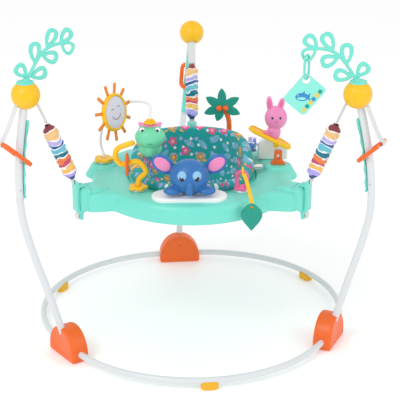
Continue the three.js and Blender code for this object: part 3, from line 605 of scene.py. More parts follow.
def stadium(length: float, width: float, turns: int = 16) -> list[Point]:
    """A round-ended outline with its long side along X, in millimetres.

    Args:
        length: its length over both ends.
        width: its width.
        turns: how many steps each round end has.

    Returns:
        The outline, going anticlockwise.
    """
    straight = (length - width) / 2
    curve = [polar(width / 2, -math.pi / 2 + math.pi * i / turns) for i in range(turns + 1)]
    right = [(straight + x, y) for x, y in curve]
    left = [(-x, -y) for x, y in right]
    return right + left


def blade_outline(length: float, width: float, widest: float, count: int = 24) -> list[Point]:
    """A pointed leaf's outline along X, in millimetres.

    Args:
        length: its length from stalk to tip.
        width: its greatest width.
        widest: where it is widest, as a share of its length.
        count: how many steps each side has.

    Returns:
        The outline, from the stalk round the tip.
    """
    power = math.log(0.5) / math.log(widest)
    half = [(length * i / count, width / 2 * math.sin(math.pi * (i / count) ** power) ** 0.85)
            for i in range(1, count)]
    return [(0.0, 0.0), *half, (length, 0.0), *[(x, -y) for x, y in half[::-1]]]


def petals(count: int, radius: float, depth: float, steps: int = 12) -> list[Point]:
    """A flower's outline in millimetres."""
    total = count * steps
    return [polar(radius * (1 + depth * math.cos(count * a)), a)
            for a in (ROUND * i / total for i in range(total))]


def round_outline(radius: float, count: int = 48, squash: float = 1.0) -> list[Point]:
    """A circle's or an ellipse's outline in millimetres."""
    return [(x, y * squash) for x, y in (polar(radius, ROUND * i / count) for i in range(count))]


# ---- Surface finishes ---------------------------------------------------------------------------


def srgb(hexadecimal: str) -> tuple[float, float, float, float]:
    """A hex colour as the linear colour that the shaders take."""
    parts = [int(hexadecimal[i:i + 2], 16) / 255 for i in (1, 3, 5)]
    linear = [c / 12.92 if c <= 0.04045 else ((c + 0.055) / 1.055) ** 2.4 for c in parts]
    return (*linear, 1.0)


def add_node(tree: bpy.types.NodeTree, kind: str, inputs: Optional[dict] = None,
             **settings: object) -> bpy.types.Node:
    """Add a shader node.

    Args:
        tree: the tree it goes in.
        kind: its type.
        inputs: a value or an output socket for each input, by name or number.
        **settings: its own properties.

    Returns:
        The new node.
    """
    node = tree.nodes.new(kind)
    for key, value in settings.items():
        setattr(node, key, value)
    for key, value in (inputs or {}).items():
        if isinstance(value, bpy.types.NodeSocket):
            tree.links.new(value, node.inputs[key])
        else:
            node.inputs[key].default_value = value
    return node


class Value:
    """A number inside a shader, which can be reckoned with like any number."""

    def __init__(self, tree: bpy.types.NodeTree, socket: bpy.types.NodeSocket) -> None:
        """Wrap a socket of a tree."""
        self.tree = tree
        self.socket = socket

    def do(self, operation: str, *others: object) -> "Value":
        """The result of a Math node on this number and others."""
        terms = [self, *others]
        sockets = {i: (t.socket if isinstance(t, Value) else float(t)) for i, t in enumerate(terms)}
        node = add_node(self.tree, MATH, sockets, operation=operation)
        return Value(self.tree, node.outputs[0])

    def __add__(self, other: object) -> "Value":
        """The sum."""
        return self.do("ADD", other)

    def __sub__(self, other: object) -> "Value":
        """The difference."""
        return self.do("SUBTRACT", other)

    def __mul__(self, other: object) -> "Value":
        """The product."""
        return self.do("MULTIPLY", other)

    def __pow__(self, other: float) -> "Value":
        """The power."""
        return self.do("POWER", other)

    def below(self, other: object, soft: float = 0.0) -> "Value":
        """One where this is less than another, and nought elsewhere.

        Args:
            other: what it is compared with.
            soft: how wide the edge between the two is.

        Returns:
            The result.
        """
        if not soft:
            return self.do("LESS_THAN", other)
        edge = (self - other) * (-1 / soft) + 0.5
        return edge.do("MINIMUM", 1).do("MAXIMUM", 0)


class Surface:
    """A material under construction, with its main shader and its coordinates."""

    def __init__(self, name: str, color: str, roughness: float) -> None:
        """Start a material with one colour and one roughness."""
        self.material = bpy.data.materials.new(name)
        self.material.use_nodes = True
        self.tree = self.material.node_tree
        self.shader = self.tree.nodes["Principled BSDF"]
        self.shader.inputs["Base Color"].default_value = srgb(color)
        self.shader.inputs["Roughness"].default_value = roughness
        self.material.diffuse_color = srgb(color)
        coordinates = add_node(self.tree, "ShaderNodeTexCoord")
        self.object_place = coordinates.outputs["Object"]
        self.uv = coordinates.outputs["UV"]

    def set(self, **values: float) -> "Surface":
        """Set shader inputs by name, with spaces written as underscores."""
        for key, value in values.items():
            self.shader.inputs[key.replace("_", " ")].default_value = value
        return self

    def noise(self, scale: float, detail: float = 2.0) -> Value:
        """Cloudy noise from nought to one."""
        node = add_node(self.tree, "ShaderNodeTexNoise",
                        {"Vector": self.object_place, "Scale": scale, "Detail": detail})
        return Value(self.tree, node.outputs["Fac"])

    def split(self, place: object) -> tuple[Value, Value, Value]:
        """The three numbers of a place."""
        node = add_node(self.tree, "ShaderNodeSeparateXYZ", {0: place})
        return tuple(Value(self.tree, out) for out in node.outputs)

    def threads(self, across: float, along: float) -> Value:
        """The fine grid of a plain weave, from nought to one."""
        u, v, _ = self.split(self.uv)
        return ((v * along).do("SINE") + (u * across).do("SINE")) * 0.25 + 0.5

    def paint(self, share: Value, color: object, over: object) -> bpy.types.NodeSocket:
        """Lay a colour over another.

        Args:
            share: how much of it shows, from nought to one.
            color: the upper colour, as hex or as a socket.
            over: the lower colour, as hex or as a socket.

        Returns:
            The socket of the mixed colour.
        """
        node = add_node(self.tree, "ShaderNodeMix", {0: share.socket}, data_type="RGBA")
        for slot, value in ((6, over), (7, color)):
            if isinstance(value, bpy.types.NodeSocket):
                self.tree.links.new(value, node.inputs[slot])
            else:
                node.inputs[slot].default_value = srgb(value)
        return node.outputs[2]

    def colored(self, socket: bpy.types.NodeSocket) -> "Surface":
        """Use a colour socket as the base colour."""
        self.tree.links.new(socket, self.shader.inputs["Base Color"])
        return self

    def rough(self, low: float, high: float, share: Value) -> "Surface":
        """Let the roughness move between two values."""
        value = share * (high - low) + low
        self.tree.links.new(value.socket, self.shader.inputs["Roughness"])
        return self

    def bumped(self, height: Value, distance: float, strength: float = 1.0) -> "Surface":
        """Raise the surface where the height is one, by a distance in metres."""
        node = add_node(self.tree, "ShaderNodeBump",
                        {"Height": height.socket, "Distance": distance, "Strength": strength})
        self.tree.links.new(node.outputs[0], self.shader.inputs["Normal"])
        return self


@dataclass(frozen=True)
class Finish:
    """A real finish, made once and given to every piece that has it."""

    name: str
    color: str
    slot: str

    def build(self) -> bpy.types.Material:
        """Make the material."""
        return Surface(self.name, self.color, 0.5).material

    def on(self, *pieces: bpy.types.Object) -> None:
        """Give the finish to pieces."""
        material = bpy.data.materials.get(self.name) or self.build()
        for piece in pieces:
            piece.data.materials.clear()
            piece.data.materials.append(material)


@dataclass(frozen=True)
class Moulded(Finish):
    """Injection-moulded plastic: an even colour, a soft sheen and a faint grain that breaks it."""

    roughness: float = 0.38
    grain: float = 0.00003
    glow: float = 0.06

    def build(self) -> bpy.types.Material:
        """Make the material."""
        surface = Surface(self.name, self.color, self.roughness)
        cloud = surface.noise(9.0, 3.0)
        surface.rough(self.roughness - 0.04, self.roughness + 0.07, cloud)
        surface.set(Subsurface_Weight=self.glow, Subsurface_Scale=0.006, Coat_Weight=0.12,
                    Coat_Roughness=0.18, Specular_IOR_Level=0.45)
        surface.bumped(surface.noise(900.0, 1.0), self.grain, 0.5)
        return surface.material


@dataclass(frozen=True)
class PowderCoat(Finish):
    """Powder-coated steel tube: satin white with the fine orange peel of baked powder."""

    def build(self) -> bpy.types.Material:
        """Make the material."""
        surface = Surface(self.name, self.color, 0.32)
        surface.rough(0.26, 0.4, surface.noise(25.0))
        surface.set(Coat_Weight=0.25, Coat_Roughness=0.12)
        surface.bumped(surface.noise(500.0, 1.0), 0.00005, 0.6)
        return surface.material


@dataclass(frozen=True)
class Webbing(Finish):
    """Woven polyester tape: fine cross ribs and a matt thread sheen."""

    def build(self) -> bpy.types.Material:
        """Make the material."""
        surface = Surface(self.name, self.color, 0.85)
        u, v, _ = surface.split(surface.uv)
        ribs = (v * 4200).do("SINE") * 0.5 + 0.5
        threads = (u * 5200).do("SINE") * 0.5 + 0.5
        # The grey between the ribs and threads is painted shade in the weave's hollows; the tape
        # itself is one colour.
        cloth = surface.paint(ribs * threads, self.color, "#d9dcdc")
        surface.colored(cloth).set(Sheen_Weight=0.35)
        return surface.bumped(ribs * 0.7 + threads * 0.3, 0.0004, 0.6).material


@dataclass(frozen=True)
class StripedCloth(Finish):
    """Ruched striped polyester: uneven woven bands of many colours that follow the gathers."""

    bands: tuple[tuple[float, str], ...] = ()
    length: float = 0.150

    def build(self) -> bpy.types.Material:
        """Make the material."""
        surface = Surface(self.name, self.color, 0.8)
        _, v, _ = surface.split(surface.uv)
        wave = (surface.noise(30.0, 1.5) - 0.5) * 0.03 + v
        ramp = add_node(surface.tree, "ShaderNodeValToRGB", {0: (wave * (1 / self.length)).socket})
        ramp.color_ramp.interpolation = "CONSTANT"
        points = ramp.color_ramp.elements
        for place, shade in self.bands[2:]:
            points.new(place).color = srgb(shade)
        for point, (place, shade) in zip((points[0], points[-1]), (self.bands[0], self.bands[1])):
            point.position = place
            point.color = srgb(shade)
        surface.colored(ramp.outputs[0]).set(Sheen_Weight=0.4, Sheen_Roughness=0.4)
        return surface.bumped(surface.threads(6400, 5600), 0.00025, 0.5).material


@dataclass(frozen=True)
class SpringWire(Finish):
    """Drawn spring steel: bright, with the fine lines that drawing leaves along the wire."""

    def build(self) -> bpy.types.Material:
        """Make the material."""
        surface = Surface(self.name, self.color, 0.3).set(Metallic=1.0)
        surface.rough(0.22, 0.42, surface.noise(300.0, 2.0))
        return surface.bumped(surface.noise(1500.0, 1.0), 0.00002, 0.5).material


class Motif:
    """Scattered cells over cloth, each with a turned place for one printed motif."""

    def __init__(self, surface: Surface, cell: float, first: Point, scatter: float) -> None:
        """Lay out cells over the cloth.

        Args:
            surface: the material that is being made.
            cell: the distance between motifs in metres.
            first: where the first motif sits, in cells.
            scatter: how unevenly the motifs sit, from nought to one.
        """
        scaled = add_node(surface.tree, VECTOR_MATH, {0: surface.uv, 1: (1 / cell,) * 3},
                          operation="MULTIPLY").outputs[0]
        place = add_node(surface.tree, VECTOR_MATH, {0: scaled, 1: (*first, 0.0)},
                         operation="ADD").outputs[0]
        cells = add_node(surface.tree, "ShaderNodeTexVoronoi",
                         {"Vector": place, "Scale": 1.0, "Randomness": scatter},
                         voronoi_dimensions="2D")
        away = add_node(surface.tree, VECTOR_MATH, {0: place, 1: cells.outputs["Position"]},
                        operation="SUBTRACT").outputs[0]
        x, y, _ = surface.split(away)
        self.chance, other, _ = surface.split(cells.outputs["Color"])
        turn = (other - 0.5) * 1.6
        self.x = x * turn.do("COSINE") - y * turn.do("SINE")
        self.y = x * turn.do("SINE") + y * turn.do("COSINE")
        self.reach = (self.x * self.x + self.y * self.y).do("SQRT")
        self.angle = self.y.do("ARCTAN2", self.x)

    def chosen(self, low: float, high: float) -> Value:
        """One in the cells whose chance falls between two numbers."""
        return self.chance.below(high) * (self.chance.below(low) * -1 + 1)

    def disc(self, radius: float) -> Value:
        """A round spot."""
        return self.reach.below(radius, 0.02)

    def flower(self, radius: float, count: int, depth: float = 0.25) -> Value:
        """A flower with round petals."""
        edge = ((self.angle * count).do("COSINE") * depth + 1) * radius
        return self.reach.below(edge, 0.02)

    def heart(self, size: float) -> Value:
        """A heart, point down."""
        x = self.x.do("ABSOLUTE") * (1 / size)
        y = self.y * (1 / size) - (x.do("SQRT")) * 0.6 + 0.2
        return (x * x + y * y).below(0.8, 0.1)

    def oval(self, length: float, width: float) -> Value:
        """A long round spot."""
        return ((self.x * (1 / length)) ** 2 + (self.y * (1 / width)) ** 2).below(1.0, 0.1)

    def rays(self, inner: float, outer: float, count: int) -> Value:
        """A ring of short rays."""
        ring = self.reach.below(outer, 0.02) * (self.reach.below(inner, 0.02) * -1 + 1)
        return ring * ((self.angle * count).do("COSINE") * -1).below(-0.1, 0.3)

    def leaf(self, length: float, width: float) -> Value:
        """A frond: a long leaf cut into slanting fingers."""
        whole = ((self.x * (1 / length)).do("ABSOLUTE") ** 2
                 + (self.y * (1 / width)).do("ABSOLUTE") ** 1.4).below(1.0, 0.1)
        slant = self.x + self.y.do("ABSOLUTE") * 0.9
        fingers = (slant * 52.0).do("SINE").below(0.45, 0.5)
        return whole * fingers


@dataclass(frozen=True)
class PrintedCloth(Finish):
    """Printed polyester over padding: teal, with scattered flowers, suns, fronds, hearts and dots."""

    def build(self) -> bpy.types.Material:
        """Make the material."""
        surface = Surface(self.name, self.color, 0.78)
        dots = Motif(surface, 0.013, (0.2, 0.4), 0.5)
        small = Motif(surface, 0.022, (0.3, 0.1), 0.45)
        large = Motif(surface, 0.037, (0.15, 0.55), 0.55)
        fronds = large.chosen(0.0, 0.36)
        suns = large.chosen(0.36, 0.6)
        blooms = large.chosen(0.6, 0.86)
        pale = large.chosen(0.86, 1.1)
        prints = ((dots.disc(0.09) * dots.chosen(0.0, 0.35), "#57c9c0"),
                  (small.heart(0.2) * small.chosen(0.0, 0.36), "#f4f6f4"),
                  (small.oval(0.28, 0.13) * small.chosen(0.45, 0.68), "#e8b93c"),
                  (small.flower(0.22, 5) * small.chosen(0.72, 1.1), "#a9b4ea"),
                  (large.leaf(0.44, 0.22) * fronds, "#8fc6ee"),
                  (large.rays(0.24, 0.36, 12) * suns, "#f6a53a"),
                  (large.disc(0.19) * suns, "#f28a2c"),
                  (large.disc(0.09) * suns, "#f9cf63"),
                  (large.flower(0.3, 5) * blooms, "#e8488f"),
                  (large.flower(0.17, 5) * blooms, "#f693bf"),
                  (large.disc(0.06) * blooms, "#f9d34a"),
                  (large.flower(0.28, 6, 0.35) * pale, "#7f8fe0"),
                  (large.disc(0.08) * pale, "#f4f6f4"))
        color = self.color
        for share, shade in prints:
            color = surface.paint(share, shade, color)
        surface.colored(color).set(Sheen_Weight=0.25, Sheen_Roughness=0.5)
        return surface.bumped(surface.threads(7000, 7000), 0.0002, 0.4).material


@dataclass(frozen=True)
class PlainCloth(Finish):
    """Plain woven polyester: a matt colour with a fine thread bump."""

    def build(self) -> bpy.types.Material:
        """Make the material."""
        surface = Surface(self.name, self.color, 0.85)
        weave = surface.noise(1800.0, 1.0)
        surface.colored(surface.paint(weave * 0.35, "#ffffff", self.color)).set(Sheen_Weight=0.3)
        return surface.bumped(weave, 0.00015, 0.6).material


@dataclass(frozen=True)
class SpeckledPrint(Finish):
    """A printed plastic drum: blue, with soft lilac and white swirls under a clear gloss."""

    def build(self) -> bpy.types.Material:
        """Make the material."""
        surface = Surface(self.name, self.color, 0.3)
        swirl = surface.noise(70.0, 1.0)
        color = surface.paint(swirl.below(0.5, 0.03) * -1 + 1, "#b7a4e6", self.color)
        color = surface.paint(surface.noise(110.0, 0.5).below(0.38, 0.03), "#eef2fb", color)
        surface.colored(color).set(Coat_Weight=0.6, Coat_Roughness=0.06)
        return surface.rough(0.26, 0.36, swirl).material


@dataclass(frozen=True)
class TinyPrint(Finish):
    """Printed card, sealed: a flat colour with a fine paper tooth and a thin gloss film."""

    def build(self) -> bpy.types.Material:
        """Make the material."""
        surface = Surface(self.name, self.color, 0.45)
        tooth = surface.noise(650.0, 2.0)
        surface.rough(0.38, 0.5, tooth).set(Coat_Weight=0.3, Coat_Roughness=0.1)
        return surface.bumped(tooth, 0.00003, 0.5).material


MINT = Moulded("mint_moulded_plastic", "#76e0cf", "mint_plastic", 0.36)
DEEP_MINT = Moulded("deep_mint_moulded_plastic", "#4fc7b3", "mint_plastic", 0.42)
ORANGE = Moulded("orange_moulded_plastic", "#f4691a", "orange_plastic", 0.4)
YELLOW = Moulded("yellow_moulded_plastic", "#fdc30c", "yellow_plastic", 0.36)
AMBER = Moulded("amber_moulded_plastic", "#ef8f2c", "yellow_plastic", 0.4)
PAD_RUBBER = Moulded("yellow_soft_rubber", "#f2b51e", "yellow_rubber", 0.62, 0.00008, 0.0)
WHITE = Moulded("white_moulded_plastic", "#f3f4f4", "white_plastic", 0.38)
PINK = Moulded("pink_moulded_plastic", "#ee6fa8", "pink_plastic", 0.38)
SOFT_PINK = Moulded("soft_pink_vinyl", "#f08fc0", "pink_plastic", 0.45)
TEAL = Moulded("teal_moulded_plastic", "#0c9a86", "teal_plastic", 0.4)
BLUE = Moulded("blue_moulded_plastic", "#2c70b4", "blue_plastic", 0.34)
SKY = Moulded("light_blue_moulded_plastic", "#8cc4ea", "blue_plastic", 0.4)
GREEN = Moulded("green_moulded_plastic", "#6fd6a8", "green_plastic", 0.4)
PALE_FACE = Moulded("pale_lilac_moulded_plastic", "#e4e2f0", "yellow_plastic", 0.4)
DARK_INK = Moulded("dark_brown_gloss_ink", "#2c2320", "blue_plastic", 0.22, 0.00001, 0.0)
BROWN_INK = Moulded("brown_print_ink", "#8a5a34", "yellow_plastic", 0.4, 0.00001, 0.0)
STEEL_TUBE = PowderCoat("white_powder_coated_steel", "#dee1e4", "white_steel")
RIVET = SpringWire("plated_rivet_steel", "#c4c8cc", "white_steel")
SPRING = SpringWire("drawn_spring_steel", "#b8bcc0", "spring_steel")
TAPE = Webbing("white_woven_webbing", "#f3f3f1", "white_webbing")
SLEEVE = StripedCloth("striped_ruched_polyester", "#e9d9c8", "striped_cloth", (
    (0.0, "#8e3a44"), (1.0, "#2a3f86"), (0.08, "#f3f1ee"), (0.1, "#f7c88a"), (0.19, "#f6f5f3"),
    (0.22, "#c3b6ee"), (0.29, "#f4f4f4"), (0.31, "#245aa8"), (0.36, "#f4f4f4"), (0.39, "#6cc4d6"),
    (0.47, "#f5f5f3"), (0.49, "#16788f"), (0.56, "#f5f5f3"), (0.58, "#f0854a"), (0.65, "#d0506e"),
    (0.71, "#f6f4f0"), (0.74, "#f9c46a"), (0.83, "#f6f4f0"), (0.85, "#b9aaf0"), (0.93, "#2a3f86")))
SEAT_CLOTH = PrintedCloth("printed_teal_polyester", "#02a3a3", "printed_cloth")
PIPING = PlainCloth("dark_teal_bound_edge", "#0a5f66", "printed_cloth")
LABEL = PlainCloth("white_satin_label", "#f4f4f2", "printed_cloth")
DRUM_PRINT = SpeckledPrint("blue_and_lilac_printed_drum", "#5b8fe0", "pink_plastic")
CARD_MINT = TinyPrint("mint_printed_card", "#8aeadb", "mint_plastic")
CARD_BLUE = TinyPrint("blue_card_print", "#2f86c6", "mint_plastic")
CARD_YELLOW = TinyPrint("yellow_card_print", "#f7c83a", "mint_plastic")
FLOOR_PAINT = TinyPrint("matt_white_studio_floor", "#fdfdfd", "")


# ---- Sub-assemblies -----------------------------------------------------------------------------


@dataclass
class Assembly:
    """A named group of finished pieces."""

    name: str
    pieces: list[bpy.types.Object] = field(default_factory=list)

    def add(self, piece: bpy.types.Object, finish: Finish, body: str,
            *nodes: str) -> bpy.types.Object:
        """Finish a piece, put it on a body and let it stand for CAD nodes.

        Args:
            piece: the piece, in place.
            finish: its finish.
            body: the body it moves with, or nothing where it bends between two.
            *nodes: the CAD nodes it stands for.

        Returns:
            The same piece.
        """
        finish.on(piece)
        if body:
            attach(piece, body)
        if nodes:
            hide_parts(*nodes)
        self.pieces.append(piece)
        log.info("%s: %s, %d faces", self.name, piece.name, len(piece.data.polygons))
        return piece

    def twin(self, piece: bpy.types.Object, name: str, matrix: Matrix) -> bpy.types.Object:
        """A copy of a piece with its own mesh, moved by a matrix."""
        copy = bpy.data.objects.new(name, piece.data.copy())
        bpy.context.scene.collection.objects.link(copy)
        return moved(copy, matrix)


ROUND_JUMPER = Matrix.Translation(AXIS)
FACE_OUT = Matrix(((0, 0, 1, 0), (1, 0, 0, 0), (0, 1, 0, 0), (0, 0, 0, 1)))
STAND_UP = spin(90, "X")
LAY_DOWN = spin(-90, "X")


@dataclass
class BaseRing(Assembly):
    """Three bent tubes on the floor, the hubs that join them and soft pads under the arcs."""

    arc_radius: float = 351.0
    corner: float = 39.0
    tube_radius: float = 8.0
    height: float = 20.0
    twist: float = 5.8
    hub_width: float = 113.0
    hub_height: float = 78.0
    hub_depth: float = 46.0
    hub_grip: float = 22.0

    @property
    def hub_reach(self) -> float:
        """How far the hubs' middles are from the jumper's middle."""
        return self.arc_radius + self.corner * math.cos(math.radians(60))

    def ring_point(self, angle: float) -> Vector:
        """A point of the first arc's middle line, in metres before it is turned."""
        corner = polar(self.corner, math.radians(60))
        swung = polar(self.arc_radius, math.radians(angle))
        return mm(corner[0] + swung[0], corner[1] + swung[1], self.height)

    def place(self, leg: Leg) -> Matrix:
        """The matrix that turns the first arc or hub to a leg's."""
        return ROUND_JUMPER @ spin(leg.value + self.twist)

    def bent_tube(self, leg: Leg) -> None:
        """One bent tube from a hub to the next."""
        first = mm(self.hub_reach, self.hub_grip, self.height)
        last = spin(120) @ mm(self.hub_reach, -self.hub_grip, self.height)
        points = [first, *[self.ring_point(3 + 9.5 * i) for i in range(13)], last]
        line = [self.place(leg) @ p for p in curve_through(points, 6)]
        piece = tube(f"floor_tube_{leg.arc}", line, self.tube_radius, sides=6)
        self.add(piece, STEEL_TUBE, "frame", f"base_tube_{leg.arc}")

    def hub_outline(self) -> list[Point]:
        """A straight foot with half an oval on it."""
        foot, half = 14.0, self.hub_width / 2
        rise = self.hub_height - foot
        arch = [(half * math.cos(a), foot + rise * math.sin(a))
                for a in (math.pi * i / 40 for i in range(41))]
        return [(-half, 0.0), (half, 0.0), *arch]

    def hub(self, leg: Leg) -> None:
        """One moulded hub with a shallow panel on each side and a snap button."""
        piece = plate(f"hub_{leg.tag}", self.hub_outline(), self.hub_depth, 6.0, 5)
        take(piece)
        bpy.ops.object.mode_set(mode="EDIT")
        bpy.ops.mesh.select_all(action="DESELECT")
        bpy.ops.object.mode_set(mode="OBJECT")
        for face in piece.data.polygons:
            face.select = abs(face.normal.z) > 0.99 and face.area > 0.002
        bpy.ops.object.mode_set(mode="EDIT")
        bpy.ops.mesh.inset(thickness=0.004, depth=-0.0012, use_individual=True)
        bpy.ops.object.mode_set(mode="OBJECT")
        matrix = self.place(leg) @ shift(self.hub_reach - self.hub_depth / 2, 0, 0) @ FACE_OUT
        self.add(moved(piece, matrix), ORANGE, "frame", f"foot_hub_{leg.tag}")
        inner = self.place(leg) @ mm(self.hub_reach - self.hub_depth / 2 + 3, 0, 48)
        outward = spin(leg.value + self.twist) @ Vector((1, 0, 0))
        button = drum(f"hub_button_{leg.tag}", inner, inner - outward * 0.0045, 4.0, 1.5)
        self.add(button, ORANGE, "frame")

    def pad(self, leg: Leg) -> None:
        """One soft pad that holds a tube off the floor, with tread lines under it."""
        block = plate("pad_block", stadium(42, 26), 19.0, 4.0, 4)
        ribs = [moved(plate(f"pad_rib_{i}", stadium(22, 2.2, 6), 4.0, 0.5), shift(i * 7, 0, 15.6)
                      @ spin(90)) for i in (-2, -1, 0, 1, 2)]
        piece = fuse(f"pad_{leg.arc}", [block, *ribs], 0.9, 3)
        turn = spin(150)
        middle = self.ring_point(60)
        flat = Matrix.Translation((middle.x, middle.y, 0))
        self.add(moved(piece, self.place(leg) @ flat @ turn), PAD_RUBBER, "frame",
                 f"foot_pad_{leg.arc}")

    def build(self) -> None:
        """Build every tube, hub and pad."""
        for leg in Leg:
            self.bent_tube(leg)
            self.hub(leg)
            self.pad(leg)


@dataclass
class Upright(Assembly):
    """A leaning leg with its ball, rack, height clip, webbing, ruched sleeve and spring."""

    leg: Leg = Leg.REAR
    ball_reach: float = 432.0
    ball_height: float = 652.0
    ball_radius: float = 33.0
    tube_radius: float = 9.0
    bulge: float = 36.0
    joint_drop: float = 237.0
    lean: float = 5.5
    foot: Point = (375.5, 37.6, 37.0)
    web_width: float = 20.0
    clip_place: Point = (35.0, 0.0, -132.0)
    clip_tilt: float = -43.0
    sleeve_top: Point = (-49.0, 0.0, -78.0)
    tray_eye: Point = (-110.6, 0.0, -225.0)
    sleeve_length: float = 150.0

    @property
    def ball_frame(self) -> Matrix:
        """The matrix of the ball's middle, local X outwards and Y round the jumper."""
        return ROUND_JUMPER @ spin(self.leg.value) @ shift(self.ball_reach, 0, self.ball_height)

    @property
    def outwards(self) -> Vector:
        """The direction away from the jumper's middle."""
        return spin(self.leg.value) @ Vector((1, 0, 0))

    @property
    def aside(self) -> Vector:
        """The direction round the jumper."""
        return spin(self.leg.value) @ Vector((0, 1, 0))

    @property
    def leaned_frame(self) -> Matrix:
        """The ball's matrix, leaned like the upright."""
        return self.ball_frame @ spin(self.lean, "X")

    def in_ball(self, x: float, y: float, z: float) -> Vector:
        """A point from millimetres in the ball's frame."""
        return self.ball_frame @ mm(x, y, z)

    def upper_point(self, drop: float) -> Vector:
        """A point of the upper tube's middle line, this far below the ball's middle."""
        bow = self.bulge * math.sin(math.radians(90) * drop / self.joint_drop)
        return self.leaned_frame @ mm(bow, 0, -drop)

    def tubes(self) -> None:
        """The two tubes of the upright and the rivets on the upper tube."""
        tag = self.leg.tag
        upper = [self.upper_point(14 + 9 * i) for i in range(24)] + [self.upper_point(236.6)]
        self.add(tube(f"upper_tube_{tag}", upper, self.tube_radius, sides=7), STEEL_TUBE, "frame",
                 f"upright_upper_{tag}")
        top = self.upper_point(self.joint_drop)
        down = (top - self.upper_point(self.joint_drop - 4)).normalized()
        foot = by_leg(self.leg, *self.foot)
        outwards, aside = self.outwards, self.aside
        points = [top, top + down * 0.012]
        gap = foot - top
        for fall, inwards in ((0.16, 0.045), (0.37, 0.25), (0.59, 0.52), (0.76, 0.72), (0.93, 0.92)):
            points.append(top + outwards * gap.dot(outwards) * inwards
                          + aside * gap.dot(aside) * math.sqrt(fall) + Vector((0, 0, gap.z * fall)))
        lower = curve_through([*points, foot], 8)
        self.add(tube(f"lower_tube_{tag}", lower, self.tube_radius, sides=7), STEEL_TUBE, "frame",
                 f"upright_lower_{tag}")
        for i, drop in enumerate((150.0, 214.0)):
            for side in (-1, 1):
                middle = self.upper_point(drop)
                face = middle + aside * side * (self.tube_radius - 0.5) * MM
                rivet = drum(f"rivet_{tag}_{i}_{'ab'[side > 0]}", face, face + aside * side * 0.002,
                             2.4, 0.8, 1.6, 20)
                self.add(rivet, RIVET, "frame")

    def ball_piece(self) -> None:
        """The ball on top, split by a channel for the webbing and a fine mould seam."""
        tag = self.leg.tag
        piece = ball(f"ball_{tag}", self.in_ball(0, 0, 0), (self.ball_radius,) * 3, across=64)
        cut_away(piece, ribbon("channel", curve_through(self.strap_points(), 5), self.aside,
                               self.web_width + 4, 4.6))
        for turn in (10, 100):
            seam = self.ball_frame @ spin(turn) @ STAND_UP
            circle = [seam @ mm(x, y, 0) for x, y in round_outline(self.ball_radius, 96)]
            cut_away(piece, tube("groove", circle, 0.7, closed=True, sides=2))
        self.add(smooth(piece, 30), YELLOW, "frame", f"top_ball_{tag}")

    def strap_points(self) -> list[Vector]:
        """The webbing's route over the ball."""
        route = ((57, -112), (68, -110), (69, -101), (60, -96), (44, -66), (25, -24), (18, -8),
                 (9, 3), (0, 6), (-9, 3), (-18, -8), (-26, -24), (-38, -50), (-49, -76))
        return [self.in_ball(x, 0, z) for x, z in route]

    def webbing(self) -> None:
        """The strap in three runs: clip to ball, over the ball, and ball to sleeve."""
        tag = self.leg.tag
        line = curve_through(self.strap_points(), 8)
        over = ribbon(f"strap_over_{tag}", line[40:88], self.aside, self.web_width, 1.6)
        self.add(over, TAPE, "frame", f"strap_{tag}")
        outer = ribbon(f"strap_outer_{tag}", line[:42], self.aside, self.web_width, 1.5)
        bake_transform(outer)
        self.add(outer, TAPE, "")
        inner = ribbon(f"strap_inner_{tag}", line[86:], self.aside, self.web_width, 1.5)
        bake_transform(inner)
        self.add(inner, TAPE, "")

    def clip_and_rack(self) -> None:
        """The ring that sets the height and the toothed strip it hooks on."""
        tag = self.leg.tag
        ring = hoop(f"clip_{tag}", stadium(90, 44), stadium(68, 22), 10.0)
        tilt = spin(self.clip_tilt, "Y")
        place = self.leaned_frame @ shift(*self.clip_place) @ tilt @ LAY_DOWN
        self.add(moved(ring, place), ORANGE, f"clip_{tag}", f"height_clip_{tag}")
        strip = softened(f"height_rack_{tag}", 1.4, f"rack_{tag}")
        self.add(strip, MINT, "frame")

    def sleeve_line(self) -> tuple[Vector, Vector]:
        """The sleeve's top and bottom, in metres."""
        top = self.in_ball(*self.sleeve_top)
        eye = self.in_ball(*self.tray_eye)
        return top, top + (eye - top).normalized() * self.sleeve_length * MM

    def sleeve(self) -> None:
        """The ruched cloth sleeve over the spring, and the spring inside it."""
        tag = self.leg.tag
        top, bottom = self.sleeve_line()
        place = aimed(bottom - top, top)
        length = self.sleeve_length
        folds, fold_depth, mouth, belly = 10, 3.6, 6.6, 9.6

        def gathers(around: float, along: float) -> Vector:
            """A point of the gathered cloth."""
            angle = ROUND * around
            slip = 0.3 * math.sin(angle + 1.1) + 0.2 * math.sin(2 * angle + along * 7)
            fold = abs(math.sin(math.pi * (along * folds + slip))) ** 0.8 * fold_depth - 2.0
            ripple = math.sin(6 * angle + along * 23) * 0.45 + math.sin(11 * angle - along * 40) * 0.2
            ends = ease(0.0, 0.11, along) * ease(0.0, 0.11, 1 - along)
            radius = mouth + belly * ends + (fold + ripple) * ends
            return place @ mm(*polar(radius, angle), along * length)

        piece = loft(f"sleeve_{tag}", gathers, 40, 150, (0.1, length * MM))
        finish_with(piece, "SOLIDIFY", thickness=0.0007, offset=-1)
        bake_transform(piece)
        self.add(piece, SLEEVE, "", f"spring_sleeve_{tag}")
        turns, steps = 15, 20
        coil = [place @ mm(*polar(9, ROUND * i / steps), 18 + 114 * i / (steps * turns))
                for i in range(steps * turns + 1)]
        spring = tube(f"coil_{tag}", coil, 1.2, sides=2)
        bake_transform(spring)
        self.add(spring, SPRING, "", f"spring_{tag}")

